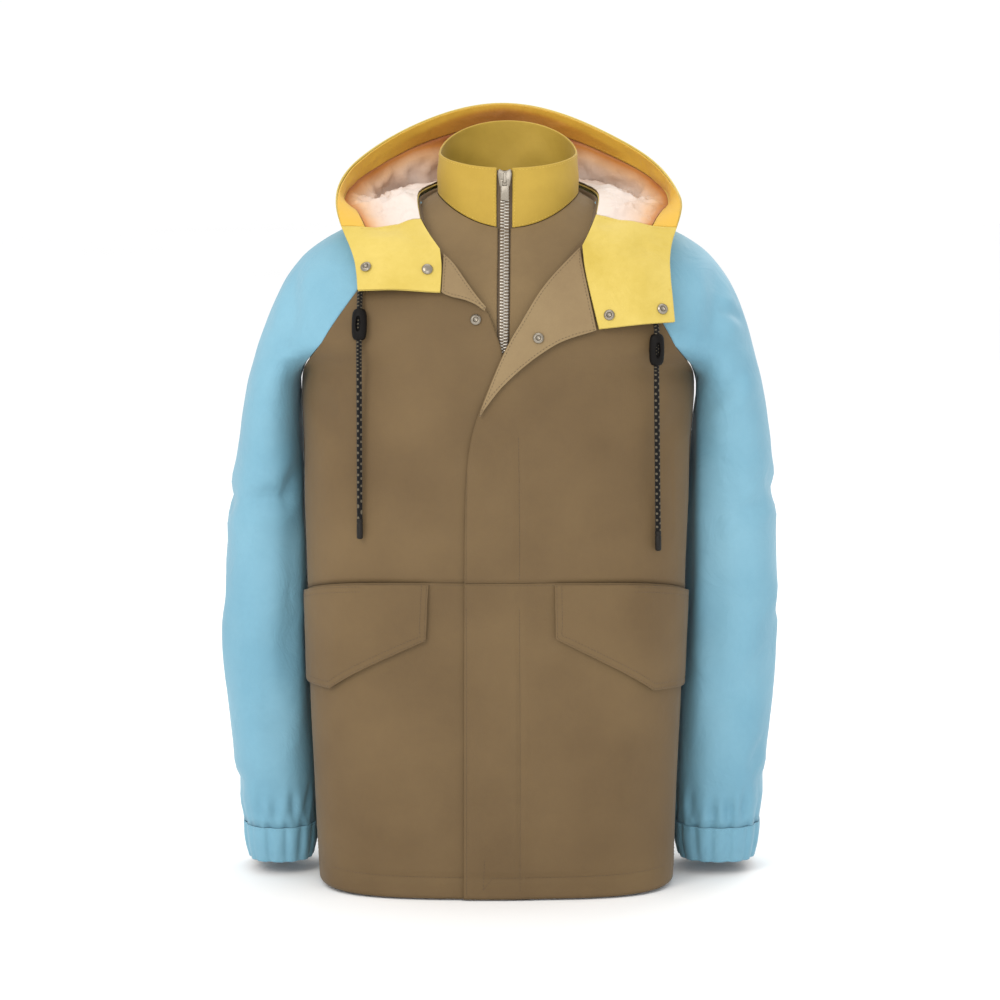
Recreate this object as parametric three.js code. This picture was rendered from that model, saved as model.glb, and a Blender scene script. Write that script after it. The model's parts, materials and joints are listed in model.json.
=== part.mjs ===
// A hooded parka that keeps the form of its wearer. Millimetres, +Z up, the front faces -Y and the
// wearer's left is +X. The origin is the middle of the neck base, between the shoulders.
// Every cloth piece is a wall: a net of points on its outer face, given its thickness inwards.
import * as THREE from 'three';

// ---------------------------------------------------------------- driving sizes
const RIGHT = -1; // the wearer's right, at -X
const LEFT = 1;

const clothThickness = 1.3;
const foldedCloth = 2.2; // two layers sewn together: collar, lapels, flaps and cuffs
const seamGap = 0.4;
const layerGap = 0.5;
const edgeUndercut = 0.5; // a wall's inner edge lies this far inside its outer one, so curved seams stay open

const underarmZ = -205;
const hemZ = -760;
const waistSeamZ = -409;
const levelDrop = 100; // below the underarm, one level is this much height
const underarmLevel = 8;
const mixLevel = 6.6; // from here down to the underarm the shoulder ring parts into trunk and sleeve
const levelOf = (z) => underarmLevel + (underarmZ - z) / levelDrop;
const waistLevel = levelOf(waistSeamZ);
const hemLevel = levelOf(hemZ);

const frontOverlapOut = 3; // the wearer's left front lies this far above the right one
const overlapRamp = { from: 38, to: 20 }; // X where the left front leaves the trunk line, and is clear

const sleeveClearance = 1.8; // from the trunk's side to the sleeve
const cuffTopZ = -706;
const cuffBottomZ = -747;
const cuffTaper = 6; // how far the elastic draws the lower edge in
const cuffBulge = 0.8;
const cuffPleats = 16;
const cuffPleatDepth = 1.8;

const collarGap = 8.5; // from the zip's middle to the collar's edge
const frontGap = 7; // and to the inner front's edge
const innerDrop = { neck: 0.1, chest: 5.2 }; // of the inner fronts below the shell's outer face

const zipWidth = 9.6;
const zipTapeWidth = 15;
const zipBottomZ = -296;
const tapeThickness = 0.8;
const chainThickness = 2.6;
const slider = { top: 34, bottom: 15, backY: -72.8, faceY: -78.4, topWidth: 15.5, bottomWidth: 11, notch: 2.5 };
const bridge = { width: 3, thickness: 1.6, bottom: 18.8, top: 31, rise: 2.6, chamfer: 0.6 };
const tab = { width: 9, length: 22, thickness: 1.4, windowWidth: 5, windowLength: 5, clearance: 0.5 };

const chinStation = 0.27; // where the yellow chin facing meets the lining
const rimFacingWidth = 27;
const liningThickness = 1;
const liningGap = 1.8; // eased, so that the lining clears the hood in its folds
const hoodClearance = { neck: 4.2, chin: 13, wall: 6.5 };

const lapelLift = { roll: 4.2, free: 6 }; // of the outer face over the front panel
const neckSeamGap = { [RIGHT]: 1.8, [LEFT]: 2.4 }; // between the hood's edge and the lapel's
const flapTopZ = -411;
const flapLift = { seam: 2.6, free: 4.6 }; // of the outer face over the panel

const snap = { radius: 6, height: 3, seat: 0.6 };
const cordDiameter = 6;
const cordLift = 4.2; // of a cord's middle over the shell
const tip = { length: 22, radius: 3.35 };
const stopper = { width: 17, height: 35, depth: 12, endWidth: 8.8, endDepth: 8.4, bore: 7.2 };
const eyelet = { outer: 5.5, inner: 3.4, thickness: 1 };

// ---------------------------------------------------------------- tables
/** A monotone cubic curve through the given values: it never overshoots them. */
function smoothCurve(keys, values) {
  const last = keys.length - 1;
  const steps = keys.slice(1).map((key, i) => (values[i + 1] - values[i]) / (key - keys[i]));
  const slopes = keys.map((key, i) => {
    if (i === 0) return steps[0];
    if (i === last) return steps[last - 1];
    if (steps[i - 1] * steps[i] <= 0) return 0;
    return 2 / (1 / steps[i - 1] + 1 / steps[i]);
  });
  return (key) => {
    if (key <= keys[0]) return values[0];
    if (key >= keys[last]) return values[last];
    let i = 0;
    while (key > keys[i + 1]) i += 1;
    const width = keys[i + 1] - keys[i];
    const t = (key - keys[i]) / width;
    const rise = t * t * (3 - 2 * t);
    return values[i] * (1 - rise) + values[i + 1] * rise
      + width * t * (1 - t) * (slopes[i] * (1 - t) - slopes[i + 1] * t);
  };
}

/** Rows under named columns become smooth functions of the first column. */
function table(columns, rows) {
  const keys = rows.map((row) => row[0]);
  const curves = {};
  columns.forEach((name, i) => {
    if (i > 0) curves[name] = smoothCurve(keys, rows.map((row) => row[i]));
  });
  return curves;
}

// Rings round the shoulders and both sleeve heads, from the collar's base to the underarm.
const shoulders = table(
  ['level', 'zFront', 'zSide', 'zBack', 'halfWidth', 'yFront', 'yBack', 'power', 'shift', 'seamShift'],
  [
    [0, -30, 5, 25, 78, -75, 80, 2.0, 9, 9],
    [1, -42, -1, 18, 98, -90, 97, 2.05, 9, 9],
    [2, -58, -17, 4, 140, -103, 113, 2.15, 8, 7],
    [3, -76, -36, -15, 181, -113, 124, 2.25, 8, 4],
    [4, -96, -52, -40, 211, -121, 131, 2.35, 8, 1],
    [5, -118, -78, -72, 239, -127, 136, 2.45, 8, -1],
    [6, -143, -112, -108, 257, -132, 138, 2.5, 8, -2],
    [7, -172, -160, -155, 274, -136, 139, 2.55, 7, -3],
    [8, -205, -205, -205, 286, -138, 139, 2.6, 6, -3],
  ],
);

// Rings round the trunk, by height. The side hangs lower than the front by sideDrop.
const trunk = table(
  ['z', 'halfWidth', 'yFront', 'yBack', 'yWide', 'power', 'shift', 'sideDrop'],
  [
    [-760, 199, -138, 134, -25, 3.3, -4, -7],
    [-663, 201, -139, 136, -25, 3.2, -5, 4],
    [-526, 207, -140, 138, -25, 3.0, -5, 15],
    [-409, 210, -140, 139, -25, 2.9, -4, 24],
    [-322, 212, -140, 140, -25, 2.9, -4, 16],
    [-255, 215.5, -139, 140, -16, 2.8, -3, 6],
    [-205, 218.5, -138, 139, 0, 2.7, -2, 0],
  ],
);

// Rings round a sleeve below the underarm. Outer is measured from X = 0, before shift.
const sleeveTube = table(
  ['z', 'outer', 'yFront', 'yBack', 'yWide', 'power', 'shift'],
  [
    [-706, 294.5, -36, 78, 21, 2.5, 2],
    [-654, 301.5, -41, 86, 22, 2.6, 1],
    [-607, 306, -45, 90, 22, 2.6, 0],
    [-514, 311, -48, 93, 22, 2.6, -1],
    [-422, 312, -50, 93, 22, 2.6, 1],
    [-331, 306, -56, 90, 20, 2.6, 4],
    [-240, 293.5, -70, 84, 8, 2.5, 5.5],
    [-205, 286, -80, 84, 0, 2.4, 6],
    [-165, 276, -94, 98, 0, 2.4, 7],
  ],
);

// The seams and edges on the shell, each as X at a height.
const frontSeam = table(['z', 'x'], [
  [-187, 209], [-163, 196], [-139, 183], [-115, 167], [-80, 143], [-50, 122], [-20, 104], [0, 92],
]);
const backSeam = table(['z', 'x'], [
  [-187, 209], [-163, 196], [-115, 168], [-60, 126], [-20, 92], [18, 58],
]);
const frontEdge = {
  [RIGHT]: table(['z', 'x'], [
    [-760, 6], [-200, 6], [-162, 3], [-135, -6], [-113, -14], [-103, -23], [-86, -36], [-66, -51],
    [-57, -62], [-20, -87],
  ]),
  [LEFT]: table(['z', 'x'], [
    [-760, -40], [-330, -38], [-255, -34], [-224, -23], [-160, 4], [-125, 24], [-90, 47], [-45, 84],
    [-10, 103],
  ]),
};
const lapelCornerLevel = { [RIGHT]: 2.25, [LEFT]: 1.95 }; // where the neck seam meets the roll line

// ---------------------------------------------------------------- small helpers
const point = (x, y, z) => new THREE.Vector3(x, y, z);
const mix = (a, b, t) => a + (b - a) * t;
const mixPoints = (a, b, t) => a.clone().lerp(b, t);
const clamp01 = (t) => Math.min(1, Math.max(0, t));
const ease = (t) => clamp01(t) ** 2 * (3 - 2 * clamp01(t));
const range = (count) => Array.from({ length: count + 1 }, (_, i) => i / count);

/** The middle of a bracket where f changes sign. */
function solve(f, low, high) {
  const rising = f(low) < f(high);
  let [a, b] = [low, high];
  for (let i = 0; i < 40; i += 1) {
    const middle = (a + b) / 2;
    if (f(middle) < 0 === rising) a = middle;
    else b = middle;
  }
  return (a + b) / 2;
}

// ---------------------------------------------------------------- the body's surfaces
/** Where a superellipse of half-size 1 lies at an angle from the front: its x and its depth. */
function roundedBox(angle, power) {
  const [sin, cos] = [Math.sin(angle), Math.cos(angle)];
  const radius = (Math.abs(sin) ** power + Math.abs(cos) ** power) ** (-1 / power);
  return { x: radius * sin, depth: Math.abs(radius * cos), front: cos > 0 };
}

/** A point of a shoulder ring. The angle runs from the front, 0, over the wearer's left, 90. */
function shoulderPoint(level, angle) {
  const ring = (name) => shoulders[name](level);
  const at = roundedBox(angle, ring('power'));
  const [yEnd, zEnd] = at.front ? [ring('yFront'), ring('zFront')] : [ring('yBack'), ring('zBack')];
  return point(
    ring('shift') + ring('halfWidth') * at.x,
    yEnd * at.depth,
    mix(ring('zSide'), zEnd, at.depth ** 1.8),
  );
}

/** The height of a row on the front's middle line. */
function rowZ(level) {
  return level < underarmLevel ? shoulders.zFront(level) : underarmZ - (level - underarmLevel) * levelDrop;
}

/** A point of a trunk ring, with the same angle. */
function trunkPoint(level, angle) {
  const z = rowZ(level);
  const ring = (name) => trunk[name](z);
  const at = roundedBox(angle, ring('power'));
  return point(
    ring('shift') + ring('halfWidth') * at.x,
    mix(ring('yWide'), at.front ? ring('yFront') : ring('yBack'), at.depth),
    z - ring('sideDrop') * (1 - at.depth ** 1.5) ** 1.5,
  );
}

/** The angle where a ring crosses a line given as X by height. */
function angleOfLine(ringPoint, level, lineX, low, high) {
  return solve((angle) => {
    const at = ringPoint(level, angle);
    return at.x - lineX(at.z);
  }, low, high);
}

const quarter = Math.PI / 2;
const frontReach = 1.45; // the angle up to which a ring's front is searched

/** How far a row belongs to the trunk and the sleeve tube, 1, and not to the shoulders, 0. */
const parting = (level) => ease((level - mixLevel) / (underarmLevel - mixLevel));

const seamAngle = {
  front: (side, level) => angleOfLine(
    shoulderPoint, level, (z) => shoulders.seamShift(level) + side * frontSeam.x(z), 0, side * quarter),
  back: (side, level) => angleOfLine(
    shoulderPoint, level, (z) => shoulders.seamShift(level) + side * backSeam.x(z),
    side * quarter, side * Math.PI),
};

/** A front panel's point: across runs from the panel's front edge, 0, to its seam, 1. */
function frontPoint(side, level, across) {
  const edgeX = (z) => frontEdge[side].x(z);
  const share = parting(level);
  const parts = [];
  if (share < 1) {
    const seam = seamAngle.front(side, level);
    const edge = angleOfLine(shoulderPoint, level, edgeX, -side * quarter * 0.6, seam);
    parts.push(shoulderPoint(level, mix(edge, seam, across)));
  }
  if (share > 0) {
    const edge = angleOfLine(trunkPoint, level, edgeX, -quarter * 0.6, quarter * 0.6);
    parts.push(trunkPoint(level, mix(edge, side * quarter, across)));
  }
  return parts.length === 2 ? mixPoints(parts[0], parts[1], share) : parts[0];
}

/** A point found on a level's shoulder ring, its trunk ring, or between them where they part. */
function onRings(level, find) {
  const share = parting(level);
  if (share === 0) return find(shoulderPoint);
  if (share === 1) return find(trunkPoint);
  return mixPoints(find(shoulderPoint), find(trunkPoint), share);
}

/** The point in front at a level and an X, whether or not a panel is there. */
const ringFront = (level, x) => onRings(level, (ringPoint) => ringPoint(
  level, angleOfLine(ringPoint, level, () => x, -frontReach, frontReach)));

/** The shell's point in front at an X and a Z. */
function shellFront(x, z) {
  return ringFront(solve((level) => ringFront(level, x).z - z, 0.5, hemLevel), x);
}

/** The back's point: across runs from the right seam, 0, to the left one, 1. */
function backPoint(level, across) {
  const share = parting(level);
  const parts = [];
  if (share < 1) {
    const right = 2 * Math.PI + seamAngle.back(RIGHT, level);
    const left = seamAngle.back(LEFT, level);
    parts.push(shoulderPoint(level, mix(right, left, across)));
  }
  if (share > 0) parts.push(trunkPoint(level, mix(3 * quarter, quarter, across)));
  return parts.length === 2 ? mixPoints(parts[0], parts[1], share) : parts[0];
}

/** A sleeve tube's point: turn runs from the inner side, 0, over the front and the outer side. */
function tubePoint(side, z, turn) {
  const ring = (name) => sleeveTube[name](z);
  const at = roundedBox(turn * 2 * Math.PI - quarter, ring('power'));
  const inner = side * (trunk.halfWidth(z) + sleeveClearance) + trunk.shift(z);
  const outer = side * ring('outer') + ring('shift');
  return point(
    (inner + outer) / 2 + (outer - inner) / 2 * at.x,
    mix(ring('yWide'), at.front ? ring('yFront') : ring('yBack'), at.depth),
    z,
  );
}

/** A sleeve's point: turn runs from the front seam, 0, over the shoulder, to the back seam, 1. */
function sleevePoint(side, level, turn) {
  const share = parting(level);
  if (share === 1) return tubePoint(side, rowZ(level), turn);
  const front = seamAngle.front(side, level);
  const back = seamAngle.back(side, level);
  const cap = shoulderPoint(level, mix(front, back, turn));
  return share === 0 ? cap : mixPoints(cap, tubePoint(side, rowZ(level), turn), share);
}

// ---------------------------------------------------------------- cloth walls
const placeKey = (at) => [at.x, at.y, at.z].map((value) => Math.round(value * 500)).join();

/** The four corners of each cell of a grid. */
function cells(rows) {
  const found = [];
  for (let r = 0; r + 1 < rows.length; r += 1) {
    for (let c = 0; c + 1 < rows[0].length; c += 1) {
      found.push([rows[r][c], rows[r + 1][c], rows[r + 1][c + 1], rows[r][c + 1]]);
    }
  }
  return found;
}

/** The normals of a grid, away from the given point, and whether its cells already turn that way. */
function gridNormals(rows, awayFrom) {
  const sums = new Map(rows.flat().map((at) => [placeKey(at), point(0, 0, 0)]));
  let vote = 0;
  for (const corners of cells(rows)) {
    const [a, b, c, d] = corners;
    const normal = c.clone().sub(a).cross(d.clone().sub(b)).normalize();
    for (const key of new Set(corners.map(placeKey))) sums.get(key).add(normal);
    vote += normal.dot(a.clone().sub(awayFrom));
  }
  const sign = vote < 0 ? -1 : 1;
  sums.forEach((sum) => sum.normalize().multiplyScalar(sign));
  return { normals: rows.map((row) => row.map((at) => sums.get(placeKey(at)))), turnsOut: sign > 0 };
}

/** Moves a grid out along its normals, by a distance or by a function of row and column. */
function movedOut(rows, awayFrom, distance) {
  const { normals } = gridNormals(rows, awayFrom);
  return rows.map((row, r) => row.map((at, c) => {
    const out = typeof distance === 'function' ? distance(r, c) : distance;
    return at.clone().addScaledVector(normals[r][c], out);
  }));
}

/** Draws the edges of a grid in along the cloth, so that sewn pieces keep the seam gap. */
function trimmed(rows, edges) {
  const result = rows.map((row) => row.map((at) => at.clone()));
  const last = rows.length - 1;
  const end = rows[0].length - 1;
  const pull = (at, towards, distance) => {
    const step = towards.clone().sub(at);
    if (step.length() > distance) at.add(step.setLength(distance));
  };
  result.forEach((row, r) => {
    if (edges.start) pull(row[0], rows[r][1], edges.start);
    if (edges.end) pull(row[end], rows[r][end - 1], edges.end);
  });
  for (let c = 0; c <= end; c += 1) {
    if (edges.top) pull(result[0][c], rows[1][c], edges.top);
    if (edges.bottom) pull(result[last][c], rows[last - 1][c], edges.bottom);
  }
  return result;
}

/** The same face seen from behind, split along the same diagonal. */
const turned = (face) => [face[0], ...face.slice(1).reverse()];

/** A closed wall from the grid of its outer face: points that coincide are one point. */
function wallGeometry(rows, thickness, awayFrom) {
  const { normals: rowNormals, turnsOut } = gridNormals(rows, awayFrom);
  const points = [];
  const normals = [];
  const found = new Map();
  rows.forEach((row, r) => row.forEach((at, c) => {
    if (found.has(placeKey(at))) return;
    found.set(placeKey(at), points.length);
    points.push(at);
    normals.push(rowNormals[r][c]);
  }));
  const faces = cells(rows).map((corners) => {
    const indices = corners.map((at) => found.get(placeKey(at)));
    const face = indices.filter((corner, i) => corner !== indices[(i + 3) % 4]);
    return turnsOut ? face : turned(face);
  }).filter((face) => new Set(face).size === face.length && face.length > 2);
  const rim = new Map();
  for (const face of faces) {
    const middle = face.reduce((sum, i) => sum.add(points[i]), point(0, 0, 0)).divideScalar(face.length);
    face.forEach((from, i) => {
      const to = face[(i + 1) % face.length];
      if (rim.has(`${to},${from}`)) rim.delete(`${to},${from}`);
      else rim.set(`${from},${to}`, { from, to, middle });
    });
  }
  const undercut = points.map(() => point(0, 0, 0));
  for (const { from, to, middle } of rim.values()) {
    const edge = points[to].clone().sub(points[from]).normalize();
    const inwards = middle.clone().sub(points[from]).projectOnPlane(edge).normalize();
    undercut[from].add(inwards);
    undercut[to].add(inwards);
  }
  const count = points.length;
  const inner = points.map((at, i) => {
    if (undercut[i].lengthSq() > 0) undercut[i].setLength(edgeUndercut);
    return at.clone().addScaledVector(normals[i], -thickness).add(undercut[i]);
  });
  const triangles = [];
  const addFace = (corners) => {
    for (let i = 1; i + 1 < corners.length; i += 1) triangles.push(corners[0], corners[i], corners[i + 1]);
  };
  for (const face of faces) {
    addFace(face);
    addFace(turned(face).map((corner) => corner + count));
  }
  for (const { from, to } of rim.values()) addFace([to, from, from + count, to + count]);
  const geometry = new THREE.BufferGeometry();
  const positions = [...points, ...inner].flatMap((at) => [at.x, at.y, at.z]);
  geometry.setAttribute('position', new THREE.Float32BufferAttribute(positions, 3));
  geometry.setIndex(triangles);
  return geometry;
}

/** A solid whose skin is rings joined in a closed loop. */
function ringSolid(rings) {
  const count = rings[0].length - 1;
  const triangles = [];
  for (let r = 0; r + 1 < rings.length; r += 1) {
    for (let c = 0; c < count; c += 1) {
      const next = (c + 1) % count;
      const low = r * count;
      const high = ((r + 1) % (rings.length - 1)) * count;
      triangles.push(low + c, low + next, high + next, low + c, high + next, high + c);
    }
  }
  const geometry = new THREE.BufferGeometry();
  const positions = rings.slice(0, -1).flatMap((ring) => ring.slice(0, -1).flatMap((at) => at.toArray()));
  geometry.setAttribute('position', new THREE.Float32BufferAttribute(positions, 3));
  geometry.setIndex(triangles);
  return geometry;
}

// ---------------------------------------------------------------- materials
function finish(color, roughness, metalness = 0) {
  return new THREE.MeshStandardMaterial({ color, roughness, metalness });
}
const finishes = {
  shell: finish('#856f4e', 0.8),
  facing: finish('#a68e68', 0.8),
  sleeve: finish('#8ac4d8', 0.75),
  hood: finish('#e3c64a', 0.75),
  collar: finish('#cdaf4b', 0.75),
  lining: finish('#e4d6cf', 0.6),
  tape: finish('#4f463a', 0.85),
  metal: finish('#b9b6b0', 0.35, 1),
  cord: finish('#25211f', 0.8),
  stopper: finish('#1d1b19', 0.5),
};

const parka = new THREE.Group();

function add(name, geometry, material) {
  const mesh = new THREE.Mesh(geometry, material);
  mesh.name = name;
  parka.add(mesh);
  return mesh;
}

const trunkMiddle = point(0, 0, -350);
const sideName = { [RIGHT]: 'right', [LEFT]: 'left' };

// ---------------------------------------------------------------- shell
const seamLevels = [3, 3.7, 4.4, 5.1, 5.7, 6.2, mixLevel, 6.95, 7.3, 7.65, underarmLevel];
const neckRows = 4; // rows between the neck seam and the first whole ring
const trunkLevels = [8.45, 9, 9.55];
const skirtLevels = [10.6, 11.3, 12.1, 12.9];

/** The rows of a front piece: at the top they fan out from the slanting neck seam. */
function frontRows(side, columns) {
  const rows = range(neckRows).map((down) => columns.map((across) => {
    const neckLevel = mix(lapelCornerLevel[side], 1, across);
    return frontPoint(side, mix(neckLevel, seamLevels[0], down), across);
  }));
  for (const level of [...seamLevels.slice(1), ...trunkLevels, waistLevel]) {
    rows.push(columns.map((across) => frontPoint(side, level, across)));
  }
  return rows;
}

function skirtRows(side, columns) {
  return [waistLevel, ...skirtLevels, hemLevel].map(
    (level) => columns.map((across) => frontPoint(side, level, across)));
}

/** The left front's edge rises over the right one. */
function overlapOut(x) {
  return frontOverlapOut * ease((overlapRamp.from - x) / (overlapRamp.from - overlapRamp.to));
}

function withOverlap(side, rows) {
  if (side === RIGHT) return rows;
  return movedOut(rows, trunkMiddle, (r, c) => overlapOut(rows[r][c].x));
}

const frontColumns = {
  [RIGHT]: range(10),
  [LEFT]: [0, 0.09, 0.18, 0.24, ...range(8).map((across) => mix(0.33, 1, across))],
};
for (const side of [RIGHT, LEFT]) {
  const columns = frontColumns[side];
  const upper = trimmed(withOverlap(side, frontRows(side, columns)),
    { end: seamGap / 2, top: seamGap / 2, bottom: seamGap / 2 });
  add(`front_${sideName[side]}_upper`, wallGeometry(upper, clothThickness, trunkMiddle), finishes.shell);
  const lower = trimmed(withOverlap(side, skirtRows(side, columns)), { end: seamGap / 2, top: seamGap / 2 });
  add(`front_${sideName[side]}_lower`, wallGeometry(lower, clothThickness, trunkMiddle), finishes.shell);
}

function backRows(columns) {
  const levels = [...range(neckRows).map((down) => mix(1, seamLevels[0], down)), ...seamLevels.slice(1),
    ...trunkLevels, waistLevel, ...skirtLevels, hemLevel];
  return levels.map((level) => range(columns).map((across) => backPoint(level, across)));
}
add('back', wallGeometry(
  trimmed(backRows(16), { start: seamGap / 2, end: seamGap / 2, top: seamGap / 2 }),
  clothThickness, trunkMiddle), finishes.shell);

// ---------------------------------------------------------------- sleeves and cuffs
const sleeveColumns = 16;
const sleeveLevels = [...range(neckRows).map((down) => mix(1, seamLevels[0], down)), ...seamLevels.slice(1),
  8.4, 9, 9.8, 10.6, 11.4, 12.2, levelOf(cuffTopZ)];

/** A cuff ring is drawn in below the sleeve's end and pleated by its elastic. */
function cuffPoint(side, down, turn) {
  const at = tubePoint(side, cuffTopZ, turn);
  const middle = tubePoint(side, cuffTopZ, 0).add(tubePoint(side, cuffTopZ, 0.5)).multiplyScalar(0.5);
  const radial = at.clone().sub(middle).setZ(0);
  const radius = radial.length();
  const bulge = Math.sin(Math.PI * down);
  const pleat = cuffPleatDepth * bulge * Math.cos(2 * Math.PI * cuffPleats * turn);
  radial.setLength(radius - cuffTaper * down ** 1.5 + pleat + cuffBulge * bulge);
  return middle.add(radial).setZ(mix(cuffTopZ, cuffBottomZ, down));
}

for (const side of [RIGHT, LEFT]) {
  const rows = sleeveLevels.map((level) => range(sleeveColumns).map((turn) => sleevePoint(side, level, turn)));
  const edges = rows.map((row, r) => trimmed([row, row], { start: seamGap / 2, end: seamGap / 2 })[0]);
  const open = rows.map((row, r) => (sleeveLevels[r] < underarmLevel ? edges[r] : row));
  const sleeve = trimmed(open, { top: seamGap / 2, bottom: seamGap / 2 });
  add(`sleeve_${sideName[side]}`,
    wallGeometry(sleeve, clothThickness, point(side * 200, 5, -300)), finishes.sleeve);
  const cuff = [0, 0.25, 0.5, 0.75, 1].map(
    (down) => range(cuffPleats * 2).map((turn) => cuffPoint(side, down, turn)));
  add(`cuff_${sideName[side]}`, wallGeometry(trimmed(cuff, { top: seamGap / 2 }), foldedCloth,
    point(side * 250, 20, -725)), finishes.sleeve);
}

// ---------------------------------------------------------------- the shell's outer face
/** Sample points of the shell's outer face with their normals, for what lies on it. */
function shellSamples() {
  const samples = [];
  const collect = (rows, awayFrom) => {
    const { normals } = gridNormals(rows, awayFrom);
    rows.forEach((row, r) => row.forEach((at, c) => samples.push({ at, normal: normals[r][c] })));
  };
  const levels = range(34).map((t) => mix(3, 12, t));
  for (const side of [RIGHT, LEFT]) {
    const fan = range(8).map((down) => range(24).map(
      (across) => frontPoint(side, mix(mix(lapelCornerLevel[side], 1, across), 3, down), across)));
    const plain = levels.slice(1).map((level) => range(24).map((across) => frontPoint(side, level, across)));
    collect(withOverlap(side, [...fan, ...plain]), trunkMiddle);
    const sleeve = [1, 1.4, 1.8, 2.2, 2.6, ...levels.slice(0, 16)].map(
      (level) => range(24).map((turn) => sleevePoint(side, level, turn)));
    collect(sleeve, point(side * 200, 5, -300));
  }
  collect([1, 1.4, 1.8, 2.2, 2.6, ...levels.slice(0, 16)].map(
    (level) => range(24).map((across) => backPoint(level, across))), trunkMiddle);
  return samples;
}
const shell = shellSamples();
const blendRadius = 7;

/** The shell's local plane at a point: how far out the point lies, and the way out. */
function shellAt(at) {
  const near = shell.map((sample) => sample.at.distanceToSquared(at));
  const least = near.reduce((a, b) => Math.min(a, b));
  const normal = point(0, 0, 0);
  let [distance, total] = [0, 0];
  near.forEach((squared, i) => {
    const weight = Math.exp((least - squared) / (2 * blendRadius ** 2));
    if (weight < 1e-3) return;
    const sample = shell[i];
    distance += weight * at.clone().sub(sample.at).dot(sample.normal);
    normal.addScaledVector(sample.normal, weight);
    total += weight;
  });
  return { distance: distance / total, normal: normal.normalize() };
}

/** Moves a point to the given distance outside the shell. */
function laidOn(at, out) {
  const plane = shellAt(at);
  return at.clone().addScaledVector(plane.normal, out - plane.distance);
}

/** Moves a point out only if it lies nearer the shell than the given distance. */
function keptOff(at, out) {
  return shellAt(at).distance < out ? laidOn(at, out) : at.clone();
}

// ---------------------------------------------------------------- collar and zip layer
const collarTop = { zFront: 35, zSide: 50, zBack: 83, halfWidth: 76.5, yFront: -73, yBack: 79, shift: 9 };
const zipX = (z) => mix(3.2, 5.2, clamp01((z + 160) / 195)); // the zip leans a little to the left as it rises

function collarPoint(up, angle) {
  const base = shoulderPoint(0, angle);
  const at = roundedBox(angle, 2.05);
  const [yEnd, zEnd] = at.front ? [collarTop.yFront, collarTop.zFront] : [collarTop.yBack, collarTop.zBack];
  const top = point(collarTop.shift + collarTop.halfWidth * at.x, yEnd * at.depth,
    mix(collarTop.zSide, zEnd, at.depth ** 1.2));
  const bow = 1.5 * Math.sin(Math.PI * up);
  return mixPoints(base, top, up).add(point(at.x * bow, at.front ? -bow * at.depth : bow * at.depth, 0));
}

const collarAngle = (offset) => Math.asin((zipX(0) + offset - collarTop.shift) / collarTop.halfWidth);
const collarRows = range(4).map((up) => range(30).map((turn) => collarPoint(
  up, mix(collarAngle(collarGap), 2 * Math.PI + collarAngle(-collarGap), turn))));
const neckMiddle = point(9, 0, 0);
add('collar', wallGeometry(trimmed(collarRows, { top: seamGap / 2 }), foldedCloth, neckMiddle),
  finishes.collar);

/** How far round a half of the inner front reaches at each level, as an angle. */
const innerReach = table(['level', 'angle'], [
  [0, 1.62], [0.5, 1.6], [1, 1.5], [1.6, 1.25], [2.3, 1.02], [3, 0.78], [4, 0.58], [5, 0.46], [6, 0.4],
  [7, 0.35], [9, 0.33],
]);
const innerDepth = (level) => -mix(innerDrop.neck, innerDrop.chest, ease(level / 1.5));

function innerPoint(side, level, across) {
  const startX = ringFront(level, zipX(rowZ(level)) + side * frontGap).x;
  return onRings(level, (ringPoint) => {
    const start = angleOfLine(ringPoint, level, () => startX, -frontReach, frontReach);
    return ringPoint(level, mix(start, side * innerReach.angle(level), across));
  });
}

const zipBottomLevel = levelOf(zipBottomZ);
const innerLevels = [0, 0.5, 1, 1.5, 2.2, 3, 4, 5, 6, 7, 8, zipBottomLevel];
for (const side of [RIGHT, LEFT]) {
  const rows = innerLevels.map((level) => range(9).map((across) => innerPoint(side, level, across)));
  const inner = movedOut(rows, trunkMiddle, (r) => innerDepth(innerLevels[r]));
  add(`inner_front_${sideName[side]}`,
    wallGeometry(trimmed(inner, { top: seamGap / 2, end: seamGap / 2 }), clothThickness, trunkMiddle),
    finishes.shell);
}
const neckFacing = [0, 0.45, 0.9, 1.35].map((level) => range(12).map((across) => shoulderPoint(
  level, mix(innerReach.angle(0), 2 * Math.PI - innerReach.angle(0), across))));
add('back_neck_facing', wallGeometry(
  trimmed(movedOut(neckFacing, trunkMiddle, (r) => innerDepth(r * 0.45)),
    { top: seamGap / 2, start: seamGap / 2, end: seamGap / 2 }),
  clothThickness, trunkMiddle), finishes.shell);

// ---------------------------------------------------------------- zip
const collarStops = [0.96, 0.7, 0.4, 0.15, 0];

const zipLevels = [0.5, 1, 1.5, 2.2, 3, 4, 5, 6, 7, 8, zipBottomLevel];

/** A strip behind the front opening's edges: down the collar, then down the inner fronts. */
function zipStrip(offsets, stops, out) {
  const rows = [
    ...stops.map((up) => offsets.map((x) => collarPoint(up, collarAngle(x)))),
    ...zipLevels.map((level) => offsets.map((x) => ringFront(level, zipX(rowZ(level)) + x))),
  ];
  const bend = stops.length - 1; // the row where the strip turns from the collar to the chest
  return movedOut(rows, trunkMiddle, (r) => {
    if (r <= bend) return (out - foldedCloth) * (r === bend ? 1.25 : 1);
    return out + innerDepth(zipLevels[r - stops.length]) - clothThickness;
  });
}
for (const side of [RIGHT, LEFT]) {
  const tape = zipStrip([0.3 * side, zipTapeWidth * side], collarStops, -layerGap);
  add(`zip_tape_${sideName[side]}`, wallGeometry(tape, tapeThickness, trunkMiddle), finishes.tape);
}
const chain = zipStrip([-zipWidth / 2, zipWidth / 2], collarStops.slice(1).map((up) => Math.min(up, 0.66)),
  chainThickness + seamGap - layerGap);
add('zip_chain', wallGeometry(chain, chainThickness, trunkMiddle), finishes.metal);

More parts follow.
